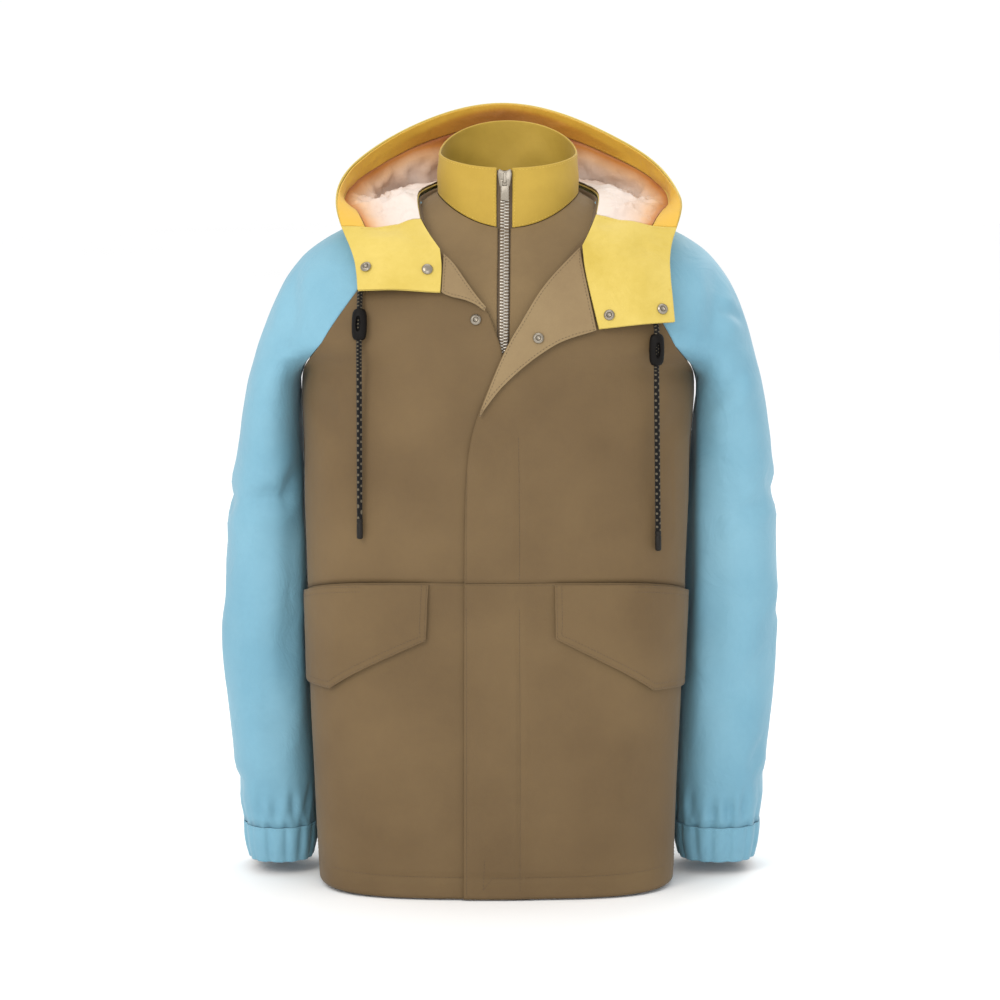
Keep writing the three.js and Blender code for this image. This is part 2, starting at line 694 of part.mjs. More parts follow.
const sliderX = zipX((slider.top + slider.bottom) / 2);

/** An outline in XZ, extruded forwards from one Y to another. */
function plate(outline, holes, backY, frontY) {
  const shape = new THREE.Shape(outline.map(([x, z]) => new THREE.Vector2(x, z)));
  shape.holes = holes.map((hole) => new THREE.Path(hole.map(([x, z]) => new THREE.Vector2(x, z))));
  const geometry = new THREE.ExtrudeGeometry(shape, { depth: backY - frontY, bevelEnabled: false });
  return geometry.rotateX(Math.PI / 2).translate(0, backY, 0);
}
const box = (halfWidth, low, high, x = 0) => [
  [x - halfWidth, low], [x + halfWidth, low], [x + halfWidth, high], [x - halfWidth, high]];

/** The slider from the front: it widens to two shoulders with a notch between them. */
function sliderOutline() {
  const { top, bottom, topWidth, bottomWidth, notch } = slider;
  return [
    [sliderX - bottomWidth / 2, bottom], [sliderX + bottomWidth / 2, bottom],
    [sliderX + topWidth / 2, top - 2 * notch], [sliderX + topWidth / 2 - 1.5, top],
    [sliderX + 1.2, top - notch], [sliderX - 1.2, top - notch],
    [sliderX - topWidth / 2 + 1.5, top], [sliderX - topWidth / 2, top - 2 * notch],
  ];
}
add('zip_slider', plate(sliderOutline(), [], slider.backY, slider.faceY), finishes.metal);

/** The bridge on the slider's face that holds the pull tab: a bow, drawn from the side. */
function bridgeGeometry() {
  const foot = slider.faceY - seamGap;
  const under = slider.faceY - bridge.rise;
  const over = under - bridge.thickness;
  const { bottom, top, thickness, chamfer } = bridge;
  const shape = new THREE.Shape([
    [foot, bottom], [over + chamfer, bottom], [over, bottom + 1], [over, top - 1], [over + chamfer, top],
    [foot, top], [foot, top - thickness], [under, top - thickness], [under, bottom + thickness],
    [foot, bottom + thickness],
  ].map(([y, z]) => new THREE.Vector2(y, z)));
  const geometry = new THREE.ExtrudeGeometry(shape, { depth: bridge.width, bevelEnabled: false });
  const toFrame = new THREE.Matrix4().set(
    0, 0, 1, sliderX - bridge.width / 2, 1, 0, 0, 0, 0, 1, 0, 0, 0, 0, 0, 1);
  return geometry.applyMatrix4(toFrame);
}
add('zip_slider_bridge', bridgeGeometry(), finishes.metal);

const tabPivotZ = bridge.bottom + bridge.thickness + tab.clearance + tab.thickness / 2;
const tabY = slider.faceY - bridge.rise / 2;
const tabTop = tabPivotZ + tab.thickness / 2;
add('zip_pull_tab', plate(
  [
    [sliderX - tab.width / 2 + 1, tabTop - tab.length], [sliderX + tab.width / 2 - 1, tabTop - tab.length],
    [sliderX + tab.width / 2, tabTop - tab.length + 1], [sliderX + tab.width / 2, tabTop],
    [sliderX - tab.width / 2, tabTop], [sliderX - tab.width / 2, tabTop - tab.length + 1],
  ],
  [box(tab.windowWidth / 2, tabTop - tab.thickness - tab.windowLength, tabTop - tab.thickness, sliderX)],
  tabY + tab.thickness / 2, tabY - tab.thickness / 2), finishes.metal);

// ---------------------------------------------------------------- hood
// Stations run from the chin's lower edge, 0, round the neck to the middle of the back, 1.
// Belly and drop move the inner and outer thirds of the hood's section out and down.
const hoodColumns = ['station', 'neckX', 'neckY', 'neckZ', 'rimX', 'rimY', 'rimZ',
  'belly1', 'drop1', 'belly2', 'drop2'];
const hoodTable = {
  [RIGHT]: table(hoodColumns, [
    [0, -64, -122, -97, -153, -118, -94, 0, 0, 0, 0],
    [0.1, -62, -110, -58, -158, -108, -62, 0, 0, 0, 0],
    [0.2, -77, -88, -36, -168, -85, -38, 2, 0, 4, 4],
    [0.3, -88, -62, -16, -177, -58, -20, 6, 2, 14, 12],
    [0.4, -90, -22, 0, -181, -28, -4, 10, 5, 30, 26],
    [0.5, -86, 15, 2, -180, 0, 12, 14, 8, 48, 44],
    [0.6, -77, 42, 6, -170, 32, 30, 22, 28, 60, 50],
    [0.7, -61, 66, 11, -148, 66, 49, 42, 70, 68, 95],
    [0.8, -40, 84, 15, -112, 101, 71, 68, 120, 78, 150],
    [0.9, -16, 94, 17, -58, 134, 93, 90, 160, 86, 200],
    [0.95, -3.5, 97, 18, -28.5, 145.5, 100, 96, 170, 88, 214],
    [1, 9, 98, 18, 2, 150, 103, 100, 175, 88, 222],
  ]),
  [LEFT]: table(hoodColumns, [
    [0, 105, -122, -137, 185, -115, -130, 0, 0, 0, 0],
    [0.1, 88, -110, -52, 184, -108, -80, 0, 0, 0, 0],
    [0.2, 98, -88, -30, 188, -88, -42, 2, 0, 4, 4],
    [0.3, 106, -55, -12, 197, -60, -20, 6, 2, 14, 12],
    [0.4, 108, -22, 0, 201, -28, -4, 10, 5, 30, 26],
    [0.5, 104, 15, 2, 193, 0, 14, 14, 8, 48, 44],
    [0.6, 95, 42, 6, 181, 32, 31, 22, 28, 60, 50],
    [0.7, 79, 66, 11, 157, 66, 50, 42, 70, 68, 95],
    [0.8, 58, 84, 15, 117, 101, 71, 68, 120, 78, 150],
    [0.9, 34, 94, 17, 62, 134, 94, 90, 160, 86, 200],
    [0.95, 21.5, 97, 18, 32.5, 145.5, 100, 96, 170, 88, 214],
    [1, 9, 98, 18, 2, 150, 103, 100, 175, 88, 222],
  ]),
};
const hoodMiddle = point(9, 40, 400); // over the open hood, so that its outside faces away

/** A point of the hood's outside: across runs from the neck seam, 0, to the rim, 1. */
function hoodPoint(side, station, across) {
  const row = (name) => hoodTable[side][name](station);
  const neck = point(row('neckX'), row('neckY'), row('neckZ'));
  const rim = point(row('rimX'), row('rimY'), row('rimZ'));
  const away = point(rim.x - neckMiddle.x, rim.y, 0).normalize();
  const second = mixPoints(neck, rim, 1 / 3).addScaledVector(away, row('belly1'));
  const third = mixPoints(neck, rim, 2 / 3).addScaledVector(away, row('belly2'));
  second.z -= row('drop1');
  third.z -= row('drop2');
  const at = new THREE.CubicBezierCurve3(neck, second, third, rim).getPointAt(across);
  const chinShare = 1 - ease((station - 0.12) / 0.25);
  const flat = mix(hoodClearance.neck, hoodClearance.wall, clamp01(across * 7));
  const out = mix(flat, mix(hoodClearance.neck, hoodClearance.chin, ease(across * 1.6)), chinShare);
  return mixPoints(keptOff(at, out), laidOn(at, out), chinShare);
}

/** The share of a hood section that lies more than the given length inside its rim. */
function insideRim(side, station, width) {
  const shares = range(24);
  const points = shares.map((across) => hoodPoint(side, station, across));
  let length = 0;
  for (let i = shares.length - 1; i > 0; i -= 1) {
    const step = points[i].distanceTo(points[i - 1]);
    if (length + step > width) return mix(shares[i], shares[i - 1], (width - length) / step);
    length += step;
  }
  return 0;
}

const chinStations = range(4).map((t) => chinStation * t);
const hoodStations = [...chinStations, ...range(10).slice(1).map((t) => mix(chinStation, 1, t))];
const wallColumns = 8;

/** A hood row's shares: even from the neck to the rim facing's seam, then the rim. */
function hoodShares(side, station) {
  const seam = insideRim(side, station, rimFacingWidth);
  return [...range(wallColumns).map((t) => seam * t), 1];
}
const hoodHalf = (side) => hoodStations.map(
  (station) => hoodShares(side, station).map((across) => hoodPoint(side, station, across)));
const backRow = hoodStations.length - 1;
const chinRow = chinStations.length - 1;

/** Rounds the folds between the chin rows: each inner point moves towards its neighbours. */
function rounded(rows, rounds) {
  let result = rows;
  for (let i = 0; i < rounds; i += 1) {
    result = result.map((row, r) => row.map((at, c) => {
      if (r <= chinRow || r >= rows.length - 1 - chinRow || c === 0 || c >= row.length - 2) return at;
      const around = [row[c - 1], row[c + 1], result[r - 1][c], result[r + 1][c]];
      const middle = around.reduce((sum, near) => sum.add(near), point(0, 0, 0)).divideScalar(4);
      return keptOff(mixPoints(at, middle, 0.5), hoodClearance.wall);
    }));
  }
  return result;
}
const hoodRows = rounded([...hoodHalf(RIGHT), ...hoodHalf(LEFT).slice(0, -1).reverse()], 5);
const halfRows = (rows, side) => (side === RIGHT ? rows.slice(0, backRow + 1) : rows.slice(backRow));
const hoodInside = movedOut(hoodRows, hoodMiddle, -clothThickness - liningGap);
const halfSeams = { [RIGHT]: { bottom: seamGap / 2 }, [LEFT]: { top: seamGap / 2 } };
const layerSeams = { start: seamGap, end: seamGap, top: seamGap / 2, bottom: seamGap / 2 };
const addLayer = (name, rows, edges, thickness, material) => add(
  name, wallGeometry(trimmed(rows, edges), thickness, hoodMiddle), material);

for (const side of [RIGHT, LEFT]) {
  addLayer(`hood_${sideName[side]}`, halfRows(hoodRows, side), halfSeams[side], clothThickness, finishes.hood);
  const chin = side === RIGHT ? hoodInside.slice(0, chinRow + 1) : hoodInside.slice(-chinRow - 1);
  addLayer(`chin_facing_${sideName[side]}`, chin, halfSeams[side], liningThickness, finishes.hood);
}
const aboveChin = hoodInside.slice(chinRow, -chinRow);
addLayer('hood_lining', aboveChin.map((row) => row.slice(0, -1)), layerSeams, liningThickness, finishes.lining);
addLayer('hood_rim_facing', aboveChin.map((row) => row.slice(-2)), layerSeams, liningThickness, finishes.hood);

// ---------------------------------------------------------------- lapels and pocket flaps
/** The roll line and the free edge of each lapel, from its neck seam to its point. */
const lapelColumns = ['station', 'rollX', 'rollZ', 'freeX', 'freeZ'];
const lapels = {
  [RIGHT]: table(lapelColumns, [
    [0, -62, -57, -64, -97], [0.3, -51, -66, -55, -101], [0.6, -36, -86, -38, -105],
    [0.85, -23, -103, -25, -110], [1, -15, -112, -16, -116],
  ]),
  [LEFT]: table(lapelColumns, [
    [0, 88, -49, 105, -137], [0.3, 47, -90, 69, -147], [0.6, 24, -125, 31, -170],
    [0.85, 4, -160, -2, -200], [1, -21, -222, -22, -228],
  ]),
};
for (const side of [RIGHT, LEFT]) {
  const line = lapels[side];
  const neckSeam = (across) => [
    hoodTable[side].neckX(0.1 * (1 - across)) - side * neckSeamGap[side],
    hoodTable[side].neckZ(0.1 * (1 - across))];
  const betweenEdges = (station, across) => [
    mix(line.rollX(station), line.freeX(station), across),
    mix(line.rollZ(station), line.freeZ(station), across)];
  const rows = range(9).map((station) => range(4).map((across) => {
    const [x, z] = station === 0 ? neckSeam(across) : betweenEdges(station, across);
    return laidOn(shellFront(x, z), mix(lapelLift.roll, lapelLift.free, ease(across)));
  }));
  add(`lapel_${sideName[side]}`, wallGeometry(rows, foldedCloth, trunkMiddle), finishes.facing);
}

/** Each flap: its top and its inner lower corner, its point and its end at the side. */
const flaps = {
  [RIGHT]: { topX: -77, cornerX: -80, cornerZ: -472, pointX: -184, pointZ: -527, sideZ: -513 },
  [LEFT]: { topX: 59, cornerX: 60, cornerZ: -470, pointX: 166, pointZ: -529, sideZ: -522 },
};
const flapRows = 4;
const flapColumns = 13;
const flapPointColumn = 8;

/** A flap's point: across runs from its inner edge, 0, past its point to the side, 1. */
function flapPoint(side, across, down) {
  const flap = flaps[side];
  const corner = flapPointColumn / flapColumns;
  const inwards = across < corner;
  const share = inwards ? across / corner : (across - corner) / (1 - corner);
  const bottomZ = inwards ? mix(flap.cornerZ, flap.pointZ, share) : mix(flap.pointZ, flap.sideZ, share);
  const level = levelOf(mix(flapTopZ, bottomZ, down));
  const innerX = mix(flap.topX, flap.cornerX, down);
  const find = (x) => angleOfLine(trunkPoint, level, () => x, -frontReach, frontReach);
  const middle = find(flap.pointX);
  return trunkPoint(level, inwards ? mix(find(innerX), middle, share) : mix(middle, side * quarter, share));
}
for (const side of [RIGHT, LEFT]) {
  const rows = range(flapRows).map((down) => range(flapColumns).map((across) => flapPoint(side, across, down)));
  const lift = (down, across) => mix(flapLift.seam, flapLift.free, Math.max(ease(down * 2), ease(across * 3)));
  const flap = wallGeometry(
    movedOut(rows, trunkMiddle, (r, c) => lift(r / flapRows, c / flapColumns)), foldedCloth, trunkMiddle);
  add(`pocket_flap_${sideName[side]}`, flap, finishes.shell);
}

// ---------------------------------------------------------------- snaps, eyelets and cords
const latheAxis = point(0, 1, 0);

/** A piece turned on the Y axis, set at a point with its axis along a direction. */
function turnedPiece(profile, segments, at, axis) {
  return new THREE.LatheGeometry(profile.map(([r, h]) => new THREE.Vector2(r, h)), segments)
    .applyQuaternion(new THREE.Quaternion().setFromUnitVectors(latheAxis, axis)).translate(at.x, at.y, at.z);
}

/** The foremost point of a mesh at an X and a Z, with its face's normal. */
function foremost(mesh, x, z) {
  const ray = new THREE.Raycaster(point(x, -1000, z), point(0, 1, 0));
  const hit = ray.intersectObject(mesh)[0];
  return { at: hit.point, normal: hit.face.normal.clone() };
}

const snapProfile = [
  [0, 0], [snap.radius, 0], [snap.radius, 1.2], [snap.radius - 1.4, snap.height - 0.4], [0, snap.height]];
const pieceNamed = (name) => parka.getObjectByName(name);
const snapPlaces = [
  ['snap_chin_right_outer', 'chin_facing_right', -144, -70],
  ['snap_chin_right_inner', 'chin_facing_right', -78, -72],
  ['snap_chin_left_inner', 'chin_facing_left', 117, -120],
  ['snap_chin_left_outer', 'chin_facing_left', 174, -114],
  ['snap_lapel_left', 'lapel_left', 41, -144],
  ['snap_front_right', 'front_right_upper', -26, -125],
];
for (const [name, seat, x, z] of snapPlaces) {
  const { at, normal } = foremost(pieceNamed(seat), x, z);
  add(name, turnedPiece(snapProfile, 12, at.addScaledVector(normal, snap.seat), normal), finishes.metal);
}

/** Each cord's route down to its stopper: its X and how far its middle stands off, by height. */
const routeColumns = ['z', 'x', 'lift'];
const cords = {
  [RIGHT]: {
    route: table(routeColumns, [
      [-362, -150, cordLift], [-150, -149.5, 6.6], [-115, -149.3, 6.2], [-90, -149, 5.6], [-74, -149, 5],
    ]),
    startZ: -74, stopperTopZ: -115, endZ: -362, stopperX: -146,
  },
  [LEFT]: {
    route: table(routeColumns, [
      [-377, 169, cordLift], [-174, 166.5, 9], [-156, 166, 7], [-139, 165.5, 5], [-121, 165, cordLift],
    ]),
    startZ: -121, stopperTopZ: -139, endZ: -377, stopperX: 169,
  },
};

const cordPoint = (side, z) => laidOn(shellFront(cords[side].route.x(z), z), cords[side].route.lift(z));

/** A stopper's outer ring at a share of its height, from -1 to 1, round its bore. */
function stopperRing(share, offset) {
  const full = (1 - Math.abs(share) ** 2.6) ** (1 / 2.6);
  const a = mix(stopper.endWidth, stopper.width, full) / 2;
  const b = mix(stopper.endDepth, stopper.depth, full) / 2;
  return range(12).map((turn) => point(
    offset * full + a * Math.sin(turn * 2 * Math.PI), share * stopper.height / 2,
    b * Math.cos(turn * 2 * Math.PI)));
}

for (const side of [RIGHT, LEFT]) {
  const cord = cords[side];
  const name = sideName[side];
  const hood = foremost(pieceNamed(`chin_facing_${name}`), cord.route.x(cord.startZ), cord.startZ + 10);
  const stopperMiddle = cordPoint(side, cord.stopperTopZ - stopper.height / 2);
  const axis = cordPoint(side, cord.stopperTopZ)
    .sub(cordPoint(side, cord.stopperTopZ - stopper.height)).normalize();
  const onAxis = (share) => stopperMiddle.clone().addScaledVector(axis, share * stopper.height / 2);
  const front = shellAt(stopperMiddle).normal.projectOnPlane(axis).normalize();
  const below = range(9).slice(1).map((t) => keptOff( // it hangs straight from its stopper
    mixPoints(onAxis(-1.3), cordPoint(side, cord.endZ + tip.length), t), cordLift));
  const route = new THREE.CatmullRomCurve3([
    cordPoint(side, cord.startZ), ...[1.2, 1, 0.5, 0, -0.5, -1, -1.3].map(onAxis), ...below,
  ]);
  const section = new THREE.Shape(range(8).slice(1).map((turn) => new THREE.Vector2(
    cordDiameter / 2 * Math.cos(turn * 2 * Math.PI), cordDiameter / 2 * Math.sin(turn * 2 * Math.PI))));
  const steps = Math.round(route.getLength() / 12);
  add(`cord_${name}`, new THREE.ExtrudeGeometry(section, { steps, extrudePath: route }), finishes.cord);

  const end = below[below.length - 1];
  const down = route.getTangent(1);
  add(`cord_tip_${name}`, turnedPiece(
    [[0, 0], [tip.radius, 0], [tip.radius, tip.length - 1], [tip.radius - 1, tip.length], [0, tip.length]],
    10, end.clone().addScaledVector(down, 0.3), down), finishes.cord);

  const heights = [-1, -0.93, -0.72, -0.35, 0.35, 0.72, 0.93, 1];
  const bore = (share) => range(12).map((turn) => point(
    stopper.bore / 2 * Math.sin(turn * 2 * Math.PI), share * stopper.height / 2,
    stopper.bore / 2 * Math.cos(turn * 2 * Math.PI)));
  const offset = cord.stopperX - stopperMiddle.x;
  const rings = [...heights.map((share) => stopperRing(share, offset)), bore(1), bore(-1)];
  rings.push(rings[0]);
  add(`cord_stopper_${name}`, ringSolid(rings)
    .applyMatrix4(new THREE.Matrix4().makeBasis(axis.clone().cross(front), axis, front))
    .translate(stopperMiddle.x, stopperMiddle.y, stopperMiddle.z), finishes.stopper);

  const underside = hood.normal.negate();
  const hoodDepth = clothThickness + liningGap + liningThickness + seamGap;
  const [inner, outer] = [eyelet.inner, eyelet.outer];
  add(`eyelet_${name}`, turnedPiece(
    [[inner, 0], [outer, 0], [outer, eyelet.thickness], [inner, eyelet.thickness], [inner, 0]],
    12, hood.at.clone().addScaledVector(underside, hoodDepth), underside), finishes.metal);
}

export default parka;
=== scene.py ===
"""A parka with a zipped stand collar, an open hood and raglan sleeves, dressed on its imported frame.

Lengths are metres unless a name ends in _mm or _MM. +Z is up, the wearer faces -Y, and +X is the
wearer's left.
"""
import json
import math

import bmesh
import bpy
import numpy as np
from mathutils import Matrix, Vector, noise
from mathutils.bvhtree import BVHTree
from mathutils.kdtree import KDTree

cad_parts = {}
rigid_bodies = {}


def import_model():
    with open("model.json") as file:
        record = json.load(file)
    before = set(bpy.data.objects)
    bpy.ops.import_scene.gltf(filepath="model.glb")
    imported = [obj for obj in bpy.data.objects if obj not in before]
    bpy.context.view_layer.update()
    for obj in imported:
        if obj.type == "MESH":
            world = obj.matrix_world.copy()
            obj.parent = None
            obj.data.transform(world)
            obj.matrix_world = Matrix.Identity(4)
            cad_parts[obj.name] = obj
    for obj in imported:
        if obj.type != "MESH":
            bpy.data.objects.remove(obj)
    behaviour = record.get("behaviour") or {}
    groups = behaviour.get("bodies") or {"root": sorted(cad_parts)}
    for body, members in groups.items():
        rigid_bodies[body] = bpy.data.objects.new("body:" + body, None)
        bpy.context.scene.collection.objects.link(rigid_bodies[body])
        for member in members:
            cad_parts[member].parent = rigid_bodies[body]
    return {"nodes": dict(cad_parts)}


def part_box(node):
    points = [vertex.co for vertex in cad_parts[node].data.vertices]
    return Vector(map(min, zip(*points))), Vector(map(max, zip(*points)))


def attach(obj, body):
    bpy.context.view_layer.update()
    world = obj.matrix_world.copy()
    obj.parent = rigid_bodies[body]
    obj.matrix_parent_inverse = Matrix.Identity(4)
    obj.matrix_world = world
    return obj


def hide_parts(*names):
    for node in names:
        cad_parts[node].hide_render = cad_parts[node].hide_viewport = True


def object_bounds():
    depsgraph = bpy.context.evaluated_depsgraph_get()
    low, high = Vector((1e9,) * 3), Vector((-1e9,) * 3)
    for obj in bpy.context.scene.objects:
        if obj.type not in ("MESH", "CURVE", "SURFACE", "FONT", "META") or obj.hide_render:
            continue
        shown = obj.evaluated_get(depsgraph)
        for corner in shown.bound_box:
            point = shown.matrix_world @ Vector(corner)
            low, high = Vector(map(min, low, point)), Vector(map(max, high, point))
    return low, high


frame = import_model()
cad_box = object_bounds()
scene = bpy.context.scene
MM = 0.001

# ---------------------------------------------------------------- camera

CAMERA_DISTANCE = 3.6
CAMERA_TILT = math.radians(8)
CAMERA_TARGET = Vector((0, 0, -0.338))
VIEW_WIDTH = 1.12
SENSOR_MM = 36

camera_data = bpy.data.cameras.new("camera")
camera_data.sensor_width = SENSOR_MM
camera_data.lens = SENSOR_MM * CAMERA_DISTANCE / VIEW_WIDTH
camera = bpy.data.objects.new("camera", camera_data)
towards_camera = Vector((0, -math.cos(CAMERA_TILT), math.sin(CAMERA_TILT)))
camera.location = CAMERA_TARGET + CAMERA_DISTANCE * towards_camera
camera.rotation_euler = (math.pi / 2 - CAMERA_TILT, 0, 0)
scene.collection.objects.link(camera)
scene.camera = camera


# ---------------------------------------------------------------- materials

def linear(hex_colour):
    """An sRGB hex colour as the linear RGBA that the shader nodes take."""
    channels = [int(hex_colour[i:i + 2], 16) / 255 for i in (1, 3, 5)]
    return [c / 12.92 if c <= 0.04045 else ((c + 0.055) / 1.055) ** 2.4 for c in channels] + [1.0]


def add_node(tree, kind, inputs=None, stops=None, **settings):
    """A node with its settings: an input is a value or another node's output, a stop a place and a hex."""
    made = tree.nodes.new(kind)
    for name, value in settings.items():
        setattr(made, name, value)
    for key, value in (inputs or {}).items():
        if isinstance(value, bpy.types.NodeSocket):
            tree.links.new(value, made.inputs[key])
        else:
            made.inputs[key].default_value = value
    if stops:
        ramp = made.color_ramp.elements
        while len(ramp) < len(stops):
            ramp.new(1)
        for element, (place, colour) in zip(ramp, stops):
            element.position, element.color = place, linear(colour)
    return made


def new_material(name):
    """An empty material with its tree and its output node."""
    material = bpy.data.materials.new(name)
    material.use_nodes = True
    material.node_tree.nodes.clear()
    return material, material.node_tree, add_node(material.node_tree, "ShaderNodeOutputMaterial")


def finish_material(tree, output, colour, gloss=None, bump=None, **values):
    """The surface shader: colour, gloss and relief from nodes, and constants on its own sockets."""
    inputs = {"Base Color": colour.outputs["Color"], **values}
    if gloss:
        inputs["Roughness"] = gloss.outputs["Result"]
    if bump:
        inputs["Normal"] = bump.outputs["Normal"]
    shader = add_node(tree, "ShaderNodeBsdfPrincipled", inputs)
    tree.links.new(shader.outputs[0], output.inputs["Surface"])


WAVE_TURN = math.pi / 10  # a wave texture of scale WAVE_TURN / pitch repeats once every pitch
DYE_PATCH = 110 * MM  # dyeing is uneven in patches about a hand wide
SPECKLE = 9 * MM  # shade and gloss also vary a little over about a fingertip
CRINKLE = 45 * MM  # wear and packing leave soft creases about this far apart
YARN_RELIEF = 0.03 * MM
YARN_MM = 1.6  # yarns of these cloths are about 0.3 mm, drawn coarser so that they show from a step away


def woven_cloth(name, shades, crinkle_mm=1.6, roughness=0.72, sheen=0.08, yarn_mm=YARN_MM, attribute=None):
    """Plain-woven cloth: yarns across each other, a soft hand-worn crinkle and uneven dyeing."""
    material, tree, output = new_material(name)
    place = add_node(tree, "ShaderNodeTexCoord")
    broad = add_node(tree, "ShaderNodeTexNoise", {
        "Vector": place.outputs["Object"], "Scale": 1 / DYE_PATCH, "Detail": 2.0, "Roughness": 0.5})
    fine = add_node(tree, "ShaderNodeTexNoise", {
        "Vector": place.outputs["Object"], "Scale": 1 / SPECKLE, "Detail": 3.0, "Roughness": 0.6})
    # A stored attribute, where given, holds painted light and sets the shade; the dye patches then only vary
    # it.
    if attribute:
        base = add_node(tree, "ShaderNodeAttribute", attribute_name=attribute).outputs["Fac"]
        varied, share = broad.outputs["Fac"], 0.3
    else:
        base = broad.outputs["Fac"]
        varied, share = fine.outputs["Fac"], 0.22
    mottle = add_node(tree, "ShaderNodeMath", {0: varied, 1: share, 2: -share / 2}, operation="MULTIPLY_ADD")
    tone = add_node(tree, "ShaderNodeMath", {0: base, 1: mottle.outputs[0]}, operation="ADD")
    colour = add_node(tree, "ShaderNodeValToRGB", {"Fac": tone.outputs[0]}, stops=shades)
    warp, weft = (add_node(tree, "ShaderNodeTexWave", {
        "Vector": place.outputs["UV"], "Scale": WAVE_TURN / (yarn_mm * MM)},
        bands_direction=direction, wave_profile="SIN") for direction in "XY")
    yarns = add_node(tree, "ShaderNodeMath", {
        0: warp.outputs["Fac"], 1: weft.outputs["Fac"]}, operation="ADD")
    raised = add_node(tree, "ShaderNodeMath", {0: yarns.outputs[0], 1: YARN_RELIEF}, operation="MULTIPLY")
    crinkle = add_node(tree, "ShaderNodeTexNoise", {
        "Vector": place.outputs["Object"], "Scale": 1 / CRINKLE, "Detail": 4.0, "Roughness": 0.55,
        "Distortion": 0.8})
    relief = add_node(tree, "ShaderNodeMath", {
        0: crinkle.outputs["Fac"], 1: crinkle_mm * MM, 2: raised.outputs[0]}, operation="MULTIPLY_ADD")
    bump = add_node(tree, "ShaderNodeBump", {"Strength": 0.7, "Distance": 1.0, "Height": relief.outputs[0]})
    gloss = add_node(tree, "ShaderNodeMapRange", {
        "Value": fine.outputs["Fac"], "To Min": roughness - 0.06, "To Max": roughness + 0.06})
    finish_material(tree, output, colour, gloss, bump, **{
        "Sheen Weight": sheen, "Sheen Roughness": 0.45, "Specular IOR Level": 0.35})
    return material


# Nylon in plain weave, its face brushed after dyeing: dry and matt, with broad uneven shades.
shell_nylon = woven_cloth("nylon_plain_weave_brown", [(0.25, "#5e4a2e"), (0.75, "#6d5839")])
facing_nylon = woven_cloth("nylon_plain_weave_tan", [(0.3, "#816b4b"), (0.7, "#8f7a57")])
# The inner fronts take the shell's nylon painted lighter: painted light that offsets the shade of the collar
# and hood over them.
inner_nylon_painted_light = woven_cloth("nylon_plain_weave_inner_painted_light", [(0.3, "#6d5839"), (0.7, "#7d6745")], 1.8)
collar_nylon = woven_cloth("nylon_plain_weave_mustard", [(0.3, "#a6872d"), (0.7, "#b5963a")], 1.2, 0.66)
# Nylon taffeta, woven and lightly calendered: a soft gloss over small crinkles.
sleeve_nylon = woven_cloth("nylon_taffeta_blue", [(0.25, "#6b9cb1"), (0.75, "#7baabd")], 3.6, 0.6, 0.1)
hood_nylon = woven_cloth("nylon_taffeta_yellow", [(0.3, "#bfa646"), (0.7, "#d3bc64")], 4.5, 0.55)
# Its darker stops are painted shade, led by a stored attribute on the rim's inner part at the back.
rim_nylon = woven_cloth(
    "nylon_taffeta_gold", [(0.0, "#d9ae3e"), (0.3, "#c79a33"), (0.6, "#b07a27"), (0.95, "#86511d")],
    3.6, 0.55, attribute="painted_light")
# Polyester taffeta, woven thin and white at the neck: towards the rim its warmer stops are painted reflected
# light from the yellow cloth, and its deep orange-brown stop is painted shade under the rim.
lining_taffeta = woven_cloth(
    "polyester_taffeta_lining",
    [(0.0, "#ddd6d0"), (0.25, "#d5c3b7"), (0.5, "#d0a781"), (0.75, "#bb7a3a"), (1.0, "#8d4c1e")],
    4.5, 0.5, 0.1, attribute="painted_light")
# Polyester zip tape, woven tight and dark: flat, with a closer weave.
tape_polyester = woven_cloth(
    "polyester_zip_tape", [(0.3, "#5c4d3c"), (0.7, "#6e5d49")], 0.1, 0.75, 0.1, yarn_mm=1.2)


def grained(name, shades, gloss, grain, relief, **values):
    """A hard finish whose fine grain varies its shade and gloss and stands up as a faint relief.

    The gloss is the shader's roughness where the grain is lowest and highest, the grain its size, detail and
    roughness, and the relief its strength and height.
    """
    material, tree, output = new_material(name)
    place = add_node(tree, "ShaderNodeTexCoord")
    size, detail, roughness = grain
    marks = add_node(tree, "ShaderNodeTexNoise", {
        "Vector": place.outputs["Object"], "Scale": 1 / size, "Detail": detail, "Roughness": roughness})
    colour = add_node(tree, "ShaderNodeValToRGB", {"Fac": marks.outputs["Fac"]}, stops=shades)
    varied = add_node(tree, "ShaderNodeMapRange", {
        "Value": marks.outputs["Fac"], "To Min": gloss[0], "To Max": gloss[1]})
    bump = add_node(tree, "ShaderNodeBump", {
        "Strength": relief[0], "Distance": relief[1], "Height": marks.outputs["Fac"]})
    finish_material(tree, output, colour, varied, bump, **values)
    return material


# Nickel-plated brass, tumbled after plating: warm grey, with soft scuffs under a millimetre apart.
TUMBLED = {"grain": (0.8 * MM, 4.0, 0.65), "relief": (0.25, 0.05 * MM), "Metallic": 1.0}
zip_nickel = grained("nickel_plated_brass_zip", [(0.3, "#a39d93"), (0.7, "#b9b3a9")], (0.26, 0.46), **TUMBLED)
snap_nickel = grained(
    "nickel_plated_brass_snap", [(0.3, "#8a8275"), (0.7, "#9c9487")], (0.22, 0.42), **TUMBLED)
# The same plating, dull and dark brown: painted shade in each socket's deep well; the eyelets take it too.
dull_nickel_painted_shade = grained("nickel_dull_painted_shade", [(0.3, "#473b2f"), (0.7, "#57493b")], (0.37, 0.57), **TUMBLED)
# Plastics moulded in spark-eroded tools: that grain is nearer 0.1 mm, drawn coarser so that it shows.
MOULDED = {"grain": (0.7 * MM, 2.0, 0.5), "relief": (0.3, 0.04 * MM), "Specular IOR Level": 0.12}
